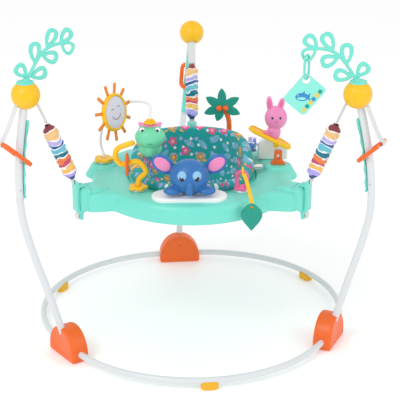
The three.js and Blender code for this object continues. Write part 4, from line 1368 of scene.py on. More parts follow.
    def lower_webbing(self) -> None:
        """The loop from the sleeve to the hook, and the short tail under the arm."""
        tag, out = self.leg.tag, self.outwards
        _, bottom = self.sleeve_line()
        eye = by_leg(self.leg, 321.6, 0, 424)
        loop = [bottom, bottom.lerp(eye, 0.5) + out * 0.003, eye + out * 0.004,
                eye + out * 0.002 - Vector((0, 0, 0.004)), eye - out * 0.004,
                bottom.lerp(eye, 0.5) - out * 0.002]
        self.add(ribbon(f"loop_{tag}", curve_through(loop, 6), self.aside, 15.0, 1.4), TAPE, "tray")
        tail = [by_leg(self.leg, x, 0, z) for x, z in ((311, 352), (316, 344), (318, 337), (317, 330))]
        self.add(ribbon(f"tail_{tag}", curve_through(tail, 5), self.aside, 19.0, 1.4), TAPE, "tray")

    def build(self) -> None:
        """Build the whole upright."""
        self.tubes()
        self.ball_piece()
        self.webbing()
        self.clip_and_rack()
        self.sleeve()
        self.lower_webbing()
        hook = softened(f"tray_hook_{self.leg.tag}", 0.9, f"hook_{self.leg.tag}")
        self.add(hook, MINT, "tray")


@dataclass
class Fronds(Assembly):
    """Two looped leaf sprays on the front balls, and a link with a printed card on the right one."""

    thickness: float = 7.0
    leaf_width: float = 31.0
    stem: tuple = ((3, 28), (14, 47), (24, 62), (35, 77), (46, 89), (62, 99), (80, 104), (112, 106))
    leaves: tuple = ((6, 40, 130, 40), (14, 39, 11, 44), (28, 66, 88, 52), (45, 85, -18, 44),
                     (58, 99, 60, 48), (94, 104, 46, 42), (96, 104, -32, 38))
    yaw: tuple = ((Leg.LEFT, 36), (Leg.RIGHT, 180))

    @staticmethod
    def teardrop(length: float, width: float, start: float = 0.0, count: int = 24) -> list[Point]:
        """A leaf's outline from its stalk round its tip, in millimetres."""
        half = [(3 * (1 - t) ** 2 * t * length / 3 + 3 * (1 - t) * t * t * length
                 + t ** 3 * length + start,
                 3 * (1 - t) ** 2 * t * width * 0.55 + 3 * (1 - t) * t * t * width * 0.8)
                for t in (i / count for i in range(count + 1))]
        return half + [(x, -z) for x, z in half[-2:0:-1]]

    def spray(self) -> bpy.types.Object:
        """One spray at the origin of a ball."""
        parts = [tube("stem", curve_through([mm(x, 0, z) for x, z in self.stem], 6), 3.9)]
        for i, (x, z, angle, length) in enumerate(self.leaves):
            band = 7.0 if i == len(self.leaves) - 1 else 9.6
            inner = self.teardrop(length - 2.2 * band, self.leaf_width - 2 * band, 1.2 * band)
            outer = self.teardrop(length, self.leaf_width)
            leaf = hoop(f"leaf_{i}", outer, inner, self.thickness)
            parts.append(moved(leaf, shift(x, 0, z) @ spin(-angle, "Y")))
        collar = drum("collar", mm(0, 0, 25), mm(0, 0, 32), 20, 1.6, 19.5)
        neck = drum("neck", mm(2, 0, 30), mm(4, 0, 38), 10, 1.0, 6)
        return fuse("spray", [*parts, collar, neck], 1.0, 4)

    def build(self) -> None:
        """Build both sprays, the link and the card."""
        spray = self.spray()
        for leg, turn in self.yaw:
            middle = by_leg(leg, Upright.ball_reach, 0, Upright.ball_height)
            copy = self.twin(spray, f"spray_{leg.tag}", Matrix.Translation(middle) @ spin(turn))
            self.add(copy, MINT, "frame", f"frond_{leg.tag}")
        bpy.data.objects.remove(spray, do_unlink=True)
        self.link()
        self.card()

    def link(self) -> None:
        """The oval link."""
        outer, inner = ([(y, x) for x, y in stadium(length, length - 30)][::-1] for length in (60, 50))
        ring = hoop("oval_link", outer, inner, 5.0)
        self.add(moved(ring, spot(256.9, -216, 715.25) @ spin(62)), MINT, "link", "link_ring")

    def card(self) -> None:
        """The hanging card with a little fish and a row of flowers."""
        slant = 40
        face = spot(254.1, -216, 652.4) @ spin(slant, "Y") @ STAND_UP
        corners = ((23, 31, 0), (-23, 31, 90), (-23, -31, 180), (23, -31, 270))
        turns = [(x, y, polar(9, math.radians(start + step)))
                 for x, y, start in corners for step in range(0, 91, 10)]
        outline = [(x + bend[0], y + bend[1]) for x, y, bend in turns]
        card = plate("card", outline, 4.0, 1.0)
        cut_away(card, drum("card_hole", mm(-19, 27, -8), mm(-19, 27, 12), 9, 0))
        self.add(moved(smooth(card, 35), face @ shift(0, 0, -2)), CARD_MINT, "tag", "tag_card")
        fish = [("card_fish", round_outline(15, 40, 0.62), (-6, -6), CARD_BLUE, 2.0),
                ("card_belly", round_outline(10, 40, 0.34), (-7, -9.4), CARD_MINT, 2.3),
                ("card_tail", [(9, 0), (19, -10), (17, 0), (19, 10)], (-6, -6), CARD_BLUE, 1.9),
                ("card_fin", [(-3, 6), (4, 6), (7, 15)], (-6, -6), CARD_BLUE, 1.9),
                ("card_spot", round_outline(1.6, 20), (-15, -3), CARD_MINT, 2.3)]
        for name, shape, (x, z), finish, lift in fish:
            mark = plate(name, shape, 0.6, 0.12, 1)
            self.add(moved(mark, face @ spin(slant) @ shift(x, z, lift)), finish, "tag")
        colors = (TEAL, CARD_YELLOW, CARD_BLUE, CARD_YELLOW, TEAL, CARD_YELLOW)
        for i, color in enumerate(colors):
            mark = plate(f"card_flower_{i}", petals(5, 4.8, 0.25), 0.6, 0.12, 1)
            self.add(moved(mark, face @ shift(22.5, 27 - 11 * i, 1.9)), color, "tag")


@dataclass
class Tray(Assembly):
    """The round moulded tray with its arms, dish, well and toy platforms."""

    top: float = 400.0
    depth: float = 46.0
    radius: float = 250.0
    bulge: float = 17.0
    arm_reach: float = 303.0
    arm_half: float = 26.0
    arm_stations: tuple = (
        (232, 24, 398), (238, 29.5, 402), (250, 30.6, 406), (262, 31, 408), (264, 31.8, 409.2),
        (270, 31.9, 409.4), (284, 31.9, 409.4), (286, 30.6, 408), (291, 30.6, 408),
        (293, 32.4, 411), (300, 32.5, 411.2), (307, 32.2, 410.6), (311, 30.4, 407), (313, 26.5, 400))
    well: float = 160.0
    dish: float = 196.0

    def reach(self, angle: float) -> float:
        """How far the outline is from the middle at an angle in radians."""
        front = max(0.0, math.cos(angle + math.pi / 2))
        body = self.radius + self.bulge * front ** 4
        flat = math.atan(self.arm_half / self.arm_reach)
        foot = flat * 2.9
        most = 0.0
        for leg in Leg:
            away = abs(math.remainder(angle - math.radians(leg.value), 2 * math.pi))
            if away <= flat:
                arm = self.arm_reach / math.cos(away) - body
            elif away < foot:
                fall = (away - flat) / (foot - flat)
                arm = (self.arm_reach / math.cos(flat) - body) * 0.5 * (1 + math.cos(math.pi * fall))
            else:
                arm = 0.0
            most = max(most, arm)
        return body + most

    def section(self, reach: float) -> list[Point]:
        """The wall's closed outline at one angle: distance out and height, with rounded corners."""
        top, under = self.top, self.top - self.depth
        corners = [(reach - 2, under, 2.5), (reach, top - 20, 14), (reach - 6, top - 3.5, 10),
                   (reach - 24, top, 12), (self.dish, top, 10), (self.well + 3, top - 9.5, 6),
                   (self.well, top - 12, 2), (self.well, top - 20, 1.5),
                   (self.well - 9, top - 20, 1.5), (self.well - 9, under + 2, 1.5),
                   (self.well + 5, under + 2, 1.5), (self.well + 5, top - 15, 3),
                   (self.dish, top - 5, 6), (reach - 26, top - 5, 8), (reach - 9, top - 9, 6),
                   (reach - 4.2, top - 20, 8), (reach - 6, under, 1.2)]
        line: list[Point] = []
        count = len(corners)
        for i, (x, z, soft) in enumerate(corners):
            here = Vector((x, z))
            for j in (-1, 1):
                near = Vector(corners[(i + j) % count][:2])
                away = near - here
                step = min(soft, away.length * 0.45)
                if j < 0:
                    first = here + away.normalized() * step
                else:
                    last = here + away.normalized() * step
            for k in range(5):
                t = k / 4
                line.append(first * (1 - t) ** 2 + here * 2 * t * (1 - t) + last * t * t)
        return line

    def shell(self) -> None:
        """The shell, turned round the middle."""
        piece = revolve("tray_shell", lambda angle: self.section(self.reach(angle)), 360)
        self.add(smooth(piece, 45), MINT, "tray", "tray")

    def arm(self) -> bpy.types.Object:
        """One rounded arm with a stepped collar, pointing along X."""
        under = self.top - self.depth + 0.4
        line = curve_through([Vector(s) for s in self.arm_stations], 4)
        last = len(line) + 1

        def shape(around: float, along: float) -> Vector:
            """A point of the arm's rounded square section."""
            i = round(along * last)
            reach, half, top = line[min(max(i - 1, 0), len(line) - 1)]
            share = 0.0 if i in (0, last) else 1.0
            side, up = rounded_square(ROUND * around, 0.42)
            return mm(reach, half * side * share, (top + under) / 2 + (top - under) / 2 * up * share)

        return smooth(loft("arm", shape, 72, last), 60)

    def arms(self) -> None:
        """The arms towards the three uprights."""
        arm = self.arm()
        for leg in Leg:
            copy = self.twin(arm, f"arm_{leg.tag}", ROUND_JUMPER @ spin(leg.value))
            self.add(copy, MINT, "tray")
        bpy.data.objects.remove(arm, do_unlink=True)

    def platforms(self) -> None:
        """The raised seats for the arch and the surf stand."""
        for name, x, y, r in (("arch", -222, 40, 34), ("surf", 216, 25, 36)):
            cone = drum(f"platform_{name}", at(x, y, 374), at(x, y, 407), r + 15, 4.0, r - 5)
            self.add(cone, MINT, "tray")

    def build(self) -> None:
        """Build the tray."""
        self.shell()
        self.arms()
        self.platforms()


@dataclass
class Toys(Assembly):
    """The toys round the tray, each on its own base."""

    def cap(self, name: str, centre: Vector, radii: Point, finish: Finish, body: str,
            turn: Point = (0, 0, 0), facing: Vector = FRONT, **cut: float) -> None:
        """Add a dome that is one finished detail, such as an eye."""
        self.add(dome(name, centre, radii, facing, turn, **cut), finish, body)

    def flower_base(self, name: str, x: float, y: float, z: float, radius: float, hole: float,
                    finish: Finish, *nodes: str) -> None:
        """A striped collar with a petalled top and a hole for a post.

        Args:
            name: the start of its pieces' names.
            x: its place along X, in millimetres off the middle line.
            y: its place along Y.
            z: its foot's height.
            radius: the petals' radius.
            hole: the post's radius.
            finish: the petals' finish.
            *nodes: the CAD nodes it stands for.
        """
        collar = drum(f"{name}_collar", at(x, y, z), at(x, y, z + 5), radius * 0.8, 1.0)
        top = plate(f"{name}_petals", petals(5, radius, 0.12), 8, 2.6, 4)
        moved(top, spot(x, y, z + 4))
        cut_away(top, drum("bore", at(x, y, z), at(x, y, z + 30), hole + 1.2, 0))
        self.add(smooth(top, 35), finish, "tray", *nodes)
        self.add(collar, WHITE, "tray")
        for i in range(12):
            outward = Vector((*polar(1.0, ROUND * i / 12), 0))
            self.cap(f"{name}_stripe_{i}", at(x, y, z + 2.5) + outward * (radius * 0.8 * MM),
                     (1.5, 1.5, 2.2), SOFT_PINK, "tray", facing=outward, keep=-0.3, across=12)

    def console(self) -> None:
        """The white console with the blue elephant head that can be pressed."""
        base = plate("console_pad", stadium(178, 72, 24), 18.4, 5.0, 6)
        self.add(moved(base, spot(-6, -201, 390)), WHITE, "tray", "console_base")
        x, y, z = -6.0, -198.0, 450.4
        parts = [ball("head", at(x, y, z), (46, 38, 42), across=48)]
        trunk = curve_through([at(x, y - 28, z + 2), at(x, y - 41, z - 8), at(x, y - 44, z - 20),
                               at(x, y - 39, z - 29)], 8)
        parts.append(tube("trunk", trunk, 8.0))
        for side in (-1, 1):
            parts.append(ball("ear", at(x + side * 62, y + 14, z + 26), (30, 6, 22),
                              (0, side * -38, 0)))
            parts.append(ball("foot", at(x + side * 40, y - 20, z - 28), (21, 16, 10)))
        head = fuse("elephant", parts, 1.3, 8)
        floor = drum("floor", at(x, y, z - 68), at(x, y, z - 38.2), 130, 0)
        self.add(smooth(cut_away(head, floor), 50), BLUE, "elephant", "elephant_button")
        for side, word in SIDES:
            eye_x = x + side * 17
            self.cap(f"eye_patch_{word}", at(eye_x, y - 29, z + 9), (12, 8, 15), SKY, "elephant",
                     (12, side * -10, side * 22))
            self.cap(f"eye_{word}", at(eye_x, y - 34.6, z + 7), (6.2, 3.6, 7.4), DARK_INK, "elephant")
            self.cap(f"glint_{word}", at(eye_x - 1.8, y - 37.6, z + 10), (1.6, 0.9, 1.6), WHITE,
                     "elephant", across=12)
            self.cap(f"ear_inner_{word}", at(x + side * 63, y + 9.4, z + 27), (22, 3.2, 14),
                     SOFT_PINK, "elephant", (0, side * -38, 0))

    def sun_and_arch(self) -> None:
        """The white arch, its flower base and the sun that turns on it."""
        sun = at(-186, -46, 562)
        frog = at(-98, -142, 561)
        facing = Vector((*polar(1.0, math.radians(-32)), 0.12)).normalized()
        self.flower_base("arch_base", -222, 40, 407.4, 24, 5, YELLOW, "arch_base")
        behind = sun - facing * 0.024
        foot = at(-222, 40, 407)
        near = [(0, 0, 3.8), (0, 0, 18), (-7, -6, 62)]
        points = [foot + mm(*p) for p in near] + [behind]
        points += [sun + mm(*p) for p in ((6, 66, 4), (32, 76, 6), (62, 66, 8), (84, 0, 18))]
        points += [frog + mm(*p) for p in ((-1, 30, 12), (0, 0, 12), (0, 0, 0))]
        self.add(tube("arch_rod", curve_through(points, 8), 3.5), WHITE, "tray", "toy_arch")
        self.add(drum("arch_axle", behind, sun - facing * 0.006, 3.0, 0.5), WHITE, "tray")
        self.sun(sun, facing)

    def sun(self, sun: Vector, facing: Vector) -> None:
        """The sun: a cup with a face in it and eleven rays.

        Args:
            sun: its middle, in metres.
            facing: the direction its face looks.
        """
        place = aimed(facing, sun - facing * 0.009)
        up = place.inverted().to_3x3() @ Vector((0, 0, 1))
        roll = math.degrees(math.atan2(up.y, up.x)) - 90
        place = place @ spin(roll)
        cup = [(0, 0), (38, 0), (42, 0.6), (45, 2.6), (46, 5.5), (46, 10), (45, 12.6), (43, 13.8),
               (41, 14), (39.6, 13), (39, 11), (0, 11)]
        rim = revolve("sun_rim", lambda angle: cup, 96, lambda x, y, z: place @ mm(x, y, z), False)
        self.add(smooth(rim, 50), YELLOW, "sun", "sun_spinner")
        face = dome("sun_face", Vector((0, 0, 0)), (38.8, 38.8, 2.4), Vector((0, 0, 1)), across=64)
        self.add(moved(face, place @ shift(0, 0, 11)), PALE_FACE, "sun")
        for i in range(11):
            ray = plate(f"sun_ray_{i}", [(-15, -3.6), (14, -4.2), (15, -3), (15, 3), (14, 4.2),
                                         (-15, 3.6)], 4, 1.0)
            turn = spin(360 * (i + 0.25) / 11)
            self.add(moved(ray, place @ turn @ shift(56, 0, 2.5)), AMBER, "sun")
        arcs = (("eye_a", -12, 5, 5.5, 25, 155), ("eye_b", 12, 8, 5.5, 25, 155),
                ("smile", 1, 1, 18, 205, 340))
        for name, x, y, r, low, high in arcs:
            middle = place @ shift(x, y, 12.9)
            line = [middle @ mm(*polar(r, math.radians(a)), 0) for a in range(low, high + 1, 6)]
            self.add(tube(f"sun_{name}", line, 0.9, sides=3), BROWN_INK, "sun")

    def frog(self) -> None:
        """The green frog that hangs from the arch, with a pink bow and a yellow flower."""
        x, y, z = -98.0, -142.0, 530.0
        parts = [ball("head", at(x, y, z), (36, 30, 26), across=40),
                 ball("body", at(x, y, z - 28), (19, 16, 22))]
        for side in (-1, 1):
            parts.append(ball("limb", at(x + side * 18, y, z - 34), (8, 8, 14), (0, side * 28, 0)))
            parts.append(ball("brow", at(x + side * 18, y - 6, z + 19), (9, 9, 9)))
        self.add(fuse("frog_body", parts, 1.1, 6), GREEN, "frog", "frog_toy")
        for side, word in SIDES:
            self.cap(f"frog_eye_{word}", at(x + side * 18, y - 11, z + 19.5), (6.5, 5.5, 6.5), WHITE,
                     "frog")
            self.cap(f"frog_pupil_{word}", at(x + side * 17.4, y - 15.2, z + 19), (3.6, 2.2, 3.9),
                     DARK_INK, "frog")
        arc = [polar(1.0, math.radians(a)) for a in range(200, 341, 7)]
        smile = [at(x + 16 * across, y - 29.4 + abs(across) * 5.5, z - 1 + 9 * rise)
                 for across, rise in arc]
        self.add(tube("frog_smile", smile, 0.8, sides=3), TEAL, "frog")
        outline = [(-23, 0), (23, 0), (26, 9), (28, 15), (20, 14.5), (12, 10.5), (0, 9.5),
                   (-12, 10.5), (-20, 14.5), (-28, 15), (-26, 9)]
        bow = plate("frog_bow", outline, 13, 2.6, 4)
        self.add(moved(bow, spot(x, y + 7, z + 20) @ STAND_UP), SOFT_PINK, "frog")
        for i, (radius, rise) in enumerate(((13, 33), (9.5, 36.5), (6, 40))):
            top = plate(f"frog_flower_{i}", petals(9, radius, 0.16, 8), 4.5, 1.4, 3)
            self.add(moved(top, spot(x, y, z + rise)), YELLOW, "frog")

    def squiggle(self) -> None:
        """The yellow bent tube with an orange disc that slides round it."""
        x, y = -128.0, -152.0
        self.flower_base("squiggle_base", x, y, 400.4, 21, 6.5, YELLOW, "squiggle_base")
        shape = ((0, 3), (0, 14), (3, 28), (19, 46), (6, 67), (-8, 71), (-25, 66), (-41, 66),
                 (-52, 84), (-45, 104), (-12, 117))
        line = curve_through([at(x + side, y, 401 + rise) for side, rise in shape], 8)
        self.add(tube("squiggle", line, 6.5, sides=6), YELLOW, "tray", "squiggle_tube")
        self.cap("squiggle_cap", line[-1], (6.6, 6.6, 6.6), YELLOW, "tray",
                 facing=(line[-1] - line[-3]).normalized())
        middle = at(x - 25, y, 465.2)
        bead = loft("bead", lambda u, v: middle + mm(
            4.0 * math.sin(ROUND * v), *polar(18.9 + 9.1 * math.cos(ROUND * v), ROUND * u)), 64, 24)
        self.add(bead, ORANGE, "bead", "disc_bead")

    def leaf_loop(self) -> None:
        """The pink loop post with a teal leaf that hangs over the tray's edge."""
        x, y, z = 117.0, -158.0, 400.4
        path = ((-9, 0, 6), (-11, 0, 30), (-6, -3, 46), (4, -6, 50), (12, -8, 42), (12, -6, 24),
                (8, 0, 6))
        loop = tube("loop", curve_through([at(x + a, y + b, z + c) for a, b, c in path], 8), 4.5)
        self.add(loop, PINK, "tray")
        base = plate("loop_petals", petals(5, 18, 0.12), 7, 2.4, 4)
        self.add(moved(base, spot(x, y, z + 4)), PINK, "tray", "loop_post")
        self.add(drum("loop_collar", at(x, y, z), at(x, y, z + 5), 17, 1.0), WHITE, "tray")
        ring_place = at(x + 2, y - 6, 450.4)
        ring = hoop("leaf_ring", round_outline(12, 48), round_outline(7.5, 48), 5.0)
        self.add(moved(ring, Matrix.Translation(ring_place) @ spin(90)), YELLOW, "leaf",
                 "leaf_teether")
        edge = at(136, -240, 409)
        path = [ring_place + mm(1, -9, 0),
                ring_place.lerp(edge, 0.45) + mm(0, 0, 8), edge,
                edge + mm(1, -11, -10), edge + mm(1, -12, -20)]
        strap = ribbon("leaf_strap", curve_through(path, 8), Vector((1, 0, 0)), 9.0, 3.0)
        self.add(strap, YELLOW, "leaf")
        outline = [(x, y - 34) for y, x in blade_outline(69, 50, 0.58)]
        leaf = plate("leaf", outline, 8, 3.0, 5)
        cut_away(leaf, drum("bore", mm(0, 25, -5), mm(0, 25, 15), 4.0, 0))
        place = spot(137, -249, 370) @ STAND_UP
        self.add(smooth(moved(leaf, place), 40), TEAL, "leaf")
        for i, (x, y, lean) in enumerate(((0, -6, 90), (9, 4, 50), (-9, 4, 130), (7, -9, 55),
                                          (-7, -9, 125))):
            vein = plate(f"leaf_vein_{i}", stadium(30 if lean == 90 else 14, 1.5, 6), 0.8, 0.3, 2)
            turn = spin(lean)
            self.add(moved(vein, place @ shift(x, y, 7.7) @ turn), TEAL, "leaf")

    def palm(self) -> None:
        """The palm with an orange trunk, two nuts and six pointed leaves."""
        x, y, z = 95.0, 190.0, 400.0
        line = curve_through([at(x + a, y + b, z + c) for a, b, c in
                              ((0, 0, 3), (3, 0, 40), (0, -2, 80), (-16, -4, 112))], 8)
        self.add(tube("palm_trunk", line, 6.6), ORANGE, "palm")
        for i in range(2, len(line) - 1, 3):
            half = (line[i + 1] - line[i - 1]).normalized() * 0.0015
            ring = drum(f"trunk_ring_{i}", line[i] - half, line[i] + half, 7.1, 1.0)
            self.add(ring, ORANGE, "palm")
        self.add(drum("palm_base", at(x, y, z + 0.4), at(x, y, z + 6.4), 17, 1.5), ORANGE, "palm")
        leaves = []
        for angle, length in ((92, 54), (30, 54), (-22, 54), (200, 54), (148, 54), (250, 44)):
            leaf = plate("blade", blade_outline(length, 23, 0.55)[::-1], 6, 2.4, 4)
            top = spot(x - 16, y - 8, z + 110) @ spin(-angle, "Y")
            leaves.append(moved(leaf, top @ shift(-3, 3, 0) @ STAND_UP))
        self.add(fuse("palm_crown", leaves, 1.1, 5), TEAL, "palm", "palm_tree")
        for side in (-1, 1):
            self.cap(f"palm_nut_{'ab'[side > 0]}", at(x - 16 + side * 8, y - 14, z + 108), (8, 8, 8),
                     ORANGE, "palm", keep=-0.6)

    def surfer(self) -> None:
        """The pink bunny on a yellow board that rocks on an orange stand."""
        x, y = 216.0, 25.0
        self.add(softened("surf_stand", 1.6, "stand"), ORANGE, "tray")
        place = spot(x - 24, y, 471) @ spin(27, "Y")
        board = plate("board", stadium(118, 40, 20), 9, 3.2, 5)
        self.add(moved(board, place), YELLOW, "surfer", "surfboard")
        rim = [place @ Vector((x * MM, y * MM, 0.0092)) for x, y in stadium(110, 32, 20)]
        self.add(tube("board_rim", rim, 1.8, closed=True, sides=4), YELLOW, "surfer")
        knuckle = drum("board_knuckle", place @ mm(22, -8, -5),
                       place @ mm(22, 8, -5), 7, 1.0)
        self.add(knuckle, YELLOW, "surfer")
        cx, cz = x - 8, 465.0
        parts = [ball("head", at(cx, y, cz + 62), (28, 22, 30), across=40),
                 ball("body", at(cx - 4, y, cz + 26), (17, 15, 22)),
                 ball("ear", at(cx - 16, y, cz + 96), (8, 5, 22), (0, -6, 0)),
                 ball("ear", at(cx + 12, y, cz + 94), (8, 5, 20), (0, 14, 0)),
                 ball("foot", at(cx - 16, y, cz + 20), (16, 9, 7), (0, 28, 0)),
                 ball("paw", at(cx - 14, y - 12, cz + 32), (6, 8, 6))]
        self.add(fuse("bunny", parts, 1.1, 6), SOFT_PINK, "surfer", "bunny_rider")
        for side, word in SIDES:
            self.cap(f"bunny_eye_{word}", at(cx + side * 9.5, y - 19.6, cz + 66), (3.0, 2.0, 3.6),
                     DARK_INK, "surfer")
        self.cap("bunny_nose", at(cx, y - 21.6, cz + 58), (3.4, 1.8, 2.4), PINK, "surfer")
        for i, (ex, ez, turn) in enumerate(((-16, 97, -6), (12, 95, 14))):
            self.cap(f"bunny_inner_{i}", at(cx + ex, y - 3.6, cz + ez), (4.2, 2.2, 14), PINK,
                     "surfer", (0, turn, 0))

    def roller(self) -> None:
        """The white housing with a printed drum that rolls in front of it."""
        x, y = 206.0, 92.0
        arch = [polar(38, math.pi * i / 40) for i in range(1, 41)]
        outline = [(-38, 0), (38, 0), (38, 22)] + [(ax, 22 + ay) for ax, ay in arch]
        housing = plate("housing", outline, 34, 4.0, 5)
        self.add(moved(housing, spot(x, y + 17, 400.4) @ STAND_UP), WHITE, "tray",
                 "drum_housing")
        axle = drum("drum_axle", at(x - 67, y, 436.4), at(x - 30, y, 436.4), 3.0, 0.6)
        self.add(axle, WHITE, "tray")
        roll = drum("roller", at(x - 62, y, 436.4), at(x - 42, y, 436.4), 19, 2.2)
        self.add(roll, DRUM_PRINT, "drum", "roller_drum")

    def build(self) -> None:
        """Build every toy."""
        self.console()
        self.sun_and_arch()
        self.frog()
        self.squiggle()
        self.leaf_loop()
        self.palm()
        self.surfer()
        self.roller()


@dataclass
class Seat(Assembly):
    """The turning ring and the padded cloth seat with two leg holes."""

    ring_inner: float = 147.0
    ring_outer: float = 159.0
    ring_low: float = 380.4
    hole_radius: float = 37.0
    hole_place: Point = (51.0, -39.0)
    floor_height: float = 291.0
    most_swell: float = 0.006
    seams: tuple = (30, 150, 215, 325)
    seam_depth: float = 2.2
    seam_width: float = 3.2
    wall_middle: float = 142.0
    cloth_radius: float = 0.135
    wall_foot: float = 0.13
    floor_scale: float = 0.8

    @staticmethod
    def rim(angle: float) -> float:
        """The rim's height at an angle in radians: low in front, high behind."""
        return 413.0 + 65.0 * ease(-0.54, 0.75, math.sin(angle))

    def ring(self) -> None:
        """The plastic ring that carries the cloth and turns in the tray."""
        inner, outer, low = self.ring_inner, self.ring_outer, self.ring_low
        outline = [(inner, low + 0.6), (inner + 0.6, low), (outer - 0.6, low), (outer, low + 0.6),
                   (outer, low + 6.4), (outer - 0.6, low + 7.2), (outer - 2.6, low + 8.8),
                   (outer - 3.4, low + 9), (inner + 0.8, low + 9), (inner, low + 8.2)]
        piece = revolve("turning_ring", lambda angle: outline, 128)
        self.add(smooth(piece, 40), DEEP_MINT, "seat", "seat_ring")

    def profile(self, angle: float) -> list[Point]:
        """The padded wall's outline at an angle, from the axis out, over the rim and back."""
        throat = self.ring_inner - 2.0
        rim = self.rim(angle)
        outside = [(0.0, 282.0), (52.0, 282.0), (96, 304), (122, 344), (138, 372), (throat - 1, 391)]
        over = [(throat + 8, 394), (throat + 9.5, rim - 12), (throat + 5, rim - 4),
                (throat - 3, rim - 2.5), (throat - 11, rim - 8)]
        inside = [(throat - 13, 400), (124, 370), (108, 345), (86, 313), (48, 292),
                  (0.0, self.floor_height)]
        points = [Vector((r, z, 0)) for r, z in outside + over + inside]
        return [(max(r, 0.0), z) for r, z, _ in curve_through(points, 4)]

    def cup(self) -> bpy.types.Object:
        """The padded seat body with its leg holes."""
        piece = revolve("seat_cup", self.profile, 96, closed=False, gap=1e-5)
        for side in (-1, 1):
            hole = drum("hole", at(side * 54, -46, 254), at(side * 46, -30, 348), self.hole_radius, 0)
            cut_away(piece, hole)
        finish_with(piece, "REMESH", mode="VOXEL", voxel_size=0.0045, use_smooth_shade=True)
        return tidy_faces(piece)

    def inflate(self, piece: bpy.types.Object) -> None:
        """Let pressure fill the padding, with every point kept near where it was sewn."""
        rest = [v.co.copy() for v in piece.data.vertices]
        take(piece)
        cloth = piece.modifiers.new("Padding", "CLOTH")
        settings = cloth.settings
        settings.use_pressure = True
        settings.uniform_pressure_force = 4.0
        settings.effector_weights.gravity = 0.0
        settings.tension_stiffness = 20.0
        settings.bending_stiffness = 0.5
        steps = 20
        cloth.point_cache.frame_start = 1
        cloth.point_cache.frame_end = steps
        scene = bpy.context.scene
        for step in range(1, steps + 1):
            scene.frame_set(step)
        bpy.ops.object.modifier_apply(modifier=cloth.name)
        scene.frame_set(1)
        for vertex, home in zip(piece.data.vertices, rest):
            away = vertex.co - home
            if away.length > self.most_swell:
                vertex.co = home + away.normalized() * self.most_swell

    def quilt(self, piece: bpy.types.Object) -> None:
        """Press shallow seams between the back, the sides and the front."""
        for vertex in piece.data.vertices:
            away = vertex.co - AXIS
            angle = math.degrees(math.atan2(away.y, away.x)) % 360
            high = ease(0.33, 0.38, away.z)
            out = Vector((away.x, away.y, 0))
            side = -1 if out.length * 1000 > self.wall_middle else 1
            for seam in self.seams:
                gap = abs(math.remainder(angle - seam, 360)) * 2.4
                sink = math.exp(-(gap / self.seam_width) ** 2) * self.seam_depth * high
                vertex.co += out.normalized() * side * sink * MM

    def map_round(self, piece: bpy.types.Object) -> None:
        """Give the cloth a map in metres: round the seat, and down its wall and over its floor."""
        layer = piece.data.uv_layers.new(name="cloth")
        mesh = piece.data
        for face in mesh.polygons:
            middle = math.atan2(face.center.y - AXIS.y, face.center.x - AXIS.x)
            for index in face.loop_indices:
                place = mesh.vertices[mesh.loops[index].vertex_index].co - AXIS
                radius = math.hypot(place.x, place.y)
                angle = math.atan2(place.y, place.x)
                angle = middle + math.remainder(angle - middle, 2 * math.pi)
                layer.data[index].uv = (angle * self.cloth_radius,
                                        place.z + (radius - self.wall_foot) * self.floor_scale)

    def build(self) -> None:
        """Build the ring, the cup, its bound edges and its label."""
        self.ring()
        cup = self.cup()
        self.inflate(cup)
        finish_with(cup, "SUBSURF", levels=1)
        self.quilt(cup)
        self.map_round(smooth(cup))
        self.add(cup, SEAT_CLOTH, "seat", "seat_fabric")
        for side, word in SIDES:
            self.leg_edge(side, word)
        self.label()

    def leg_edge(self, side: int, word: str) -> None:
        """The bound edge of one leg hole, laid on the padded floor and up the wall's foot.

        Args:
            side: minus one for the left hole and one for the right.
            word: the side's word in the piece's name.
        """
        across, back = self.hole_place
        line = []
        for around in round_outline(self.hole_radius - 0.5, 72):
            x, y = side * across + around[0], back + around[1]
            climb = max(math.hypot(x, y) - 48, 0.0) / 38
            line.append(at(x, y, self.floor_height + 22 * climb ** 1.4 + 1.0))
        bound = tube(f"leg_hole_edge_{word}", line, 2.2, closed=True, sides=3)
        self.add(bound, PIPING, "seat")

    def label(self) -> None:
        """The blank satin label that is sewn to the seat's side."""
        fold = ((151, -4, 409), (160, -5, 412), (173, -6, 412), (174, -6, 409), (162, -5, 408),
                (152, -4, 405))
        line = curve_through([at(*p) for p in fold], 5)
        label = ribbon("side_label", line, Vector((0.06, 0.998, 0)), 22.0, 0.5)
        self.add(label, LABEL, "seat")


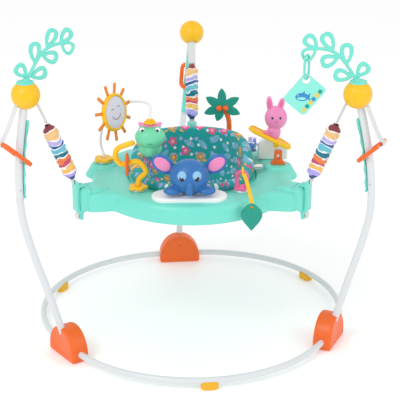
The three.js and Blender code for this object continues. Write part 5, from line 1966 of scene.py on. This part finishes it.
@dataclass
class Studio:
    """The camera, the pale floor and the soft light."""

    lens: float = 107.55
    camera_place: Point = (-0.00506, -2.87211, 1.363)
    camera_aim: Point = (0.0066, 0.938, -0.347)

    def camera(self) -> None:
        """The camera, level and without a shift."""
        bpy.ops.object.camera_add(location=self.camera_place)
        camera = bpy.context.object
        camera.name = "front_camera"
        camera.rotation_euler = Vector(self.camera_aim).to_track_quat("-Z", "Y").to_euler()
        camera.data.lens = self.lens
        camera.data.sensor_width = 36.0
        camera.data.clip_end = 100.0
        bpy.context.scene.camera = camera

    def floor(self) -> None:
        """A large pale floor."""
        deselect()
        bpy.ops.mesh.primitive_plane_add(size=60.0)
        floor = named("studio_floor")
        material = FLOOR_PAINT.build()
        painted = material.node_tree.nodes["Principled BSDF"].inputs
        painted["Coat Weight"].default_value = 0.0
        painted["Emission Color"].default_value = (1.0, 1.0, 1.0, 1.0)
        painted["Emission Strength"].default_value = 0.14
        floor.data.materials.append(material)

    def lamp(self, name: str, place: Point, size: float, power: float) -> None:
        """A soft square lamp aimed at the jumper.

        Args:
            name: its name.
            place: where it hangs, in metres.
            size: its side in metres.
            power: its power in watts.
        """
        bpy.ops.object.light_add(type="AREA", location=place)
        lamp = bpy.context.object
        lamp.name = name
        lamp.data.size = size
        lamp.data.energy = power
        toward = Vector((0, 0, 0.4)) - Vector(place)
        lamp.rotation_euler = toward.to_track_quat("-Z", "Y").to_euler()

    def build(self) -> None:
        """Set up the studio."""
        self.camera()
        self.floor()
        world = bpy.data.worlds.new("soft_white_room")
        world.use_nodes = True
        sky = world.node_tree.nodes["Background"]
        sky.inputs["Color"].default_value = (1.0, 1.0, 1.0, 1.0)
        sky.inputs["Strength"].default_value = 0.84
        bpy.context.scene.world = world
        self.lamp("key_lamp", (-1.6, -2.2, 2.8), 1.2, 27.0)
        self.lamp("fill_lamp", (2.2, -1.4, 1.8), 1.6, 9.0)
        bpy.context.scene.view_settings.view_transform = "Standard"


def main() -> None:
    """Build every assembly."""
    BaseRing("base").build()
    for leg in Leg:
        Upright(f"upright_{leg.tag}", leg=leg).build()
    Fronds("fronds").build()
    Tray("tray").build()
    Toys("toys").build()
    Seat("seat").build()
    Studio().build()


if __name__ == "__main__":
    main()
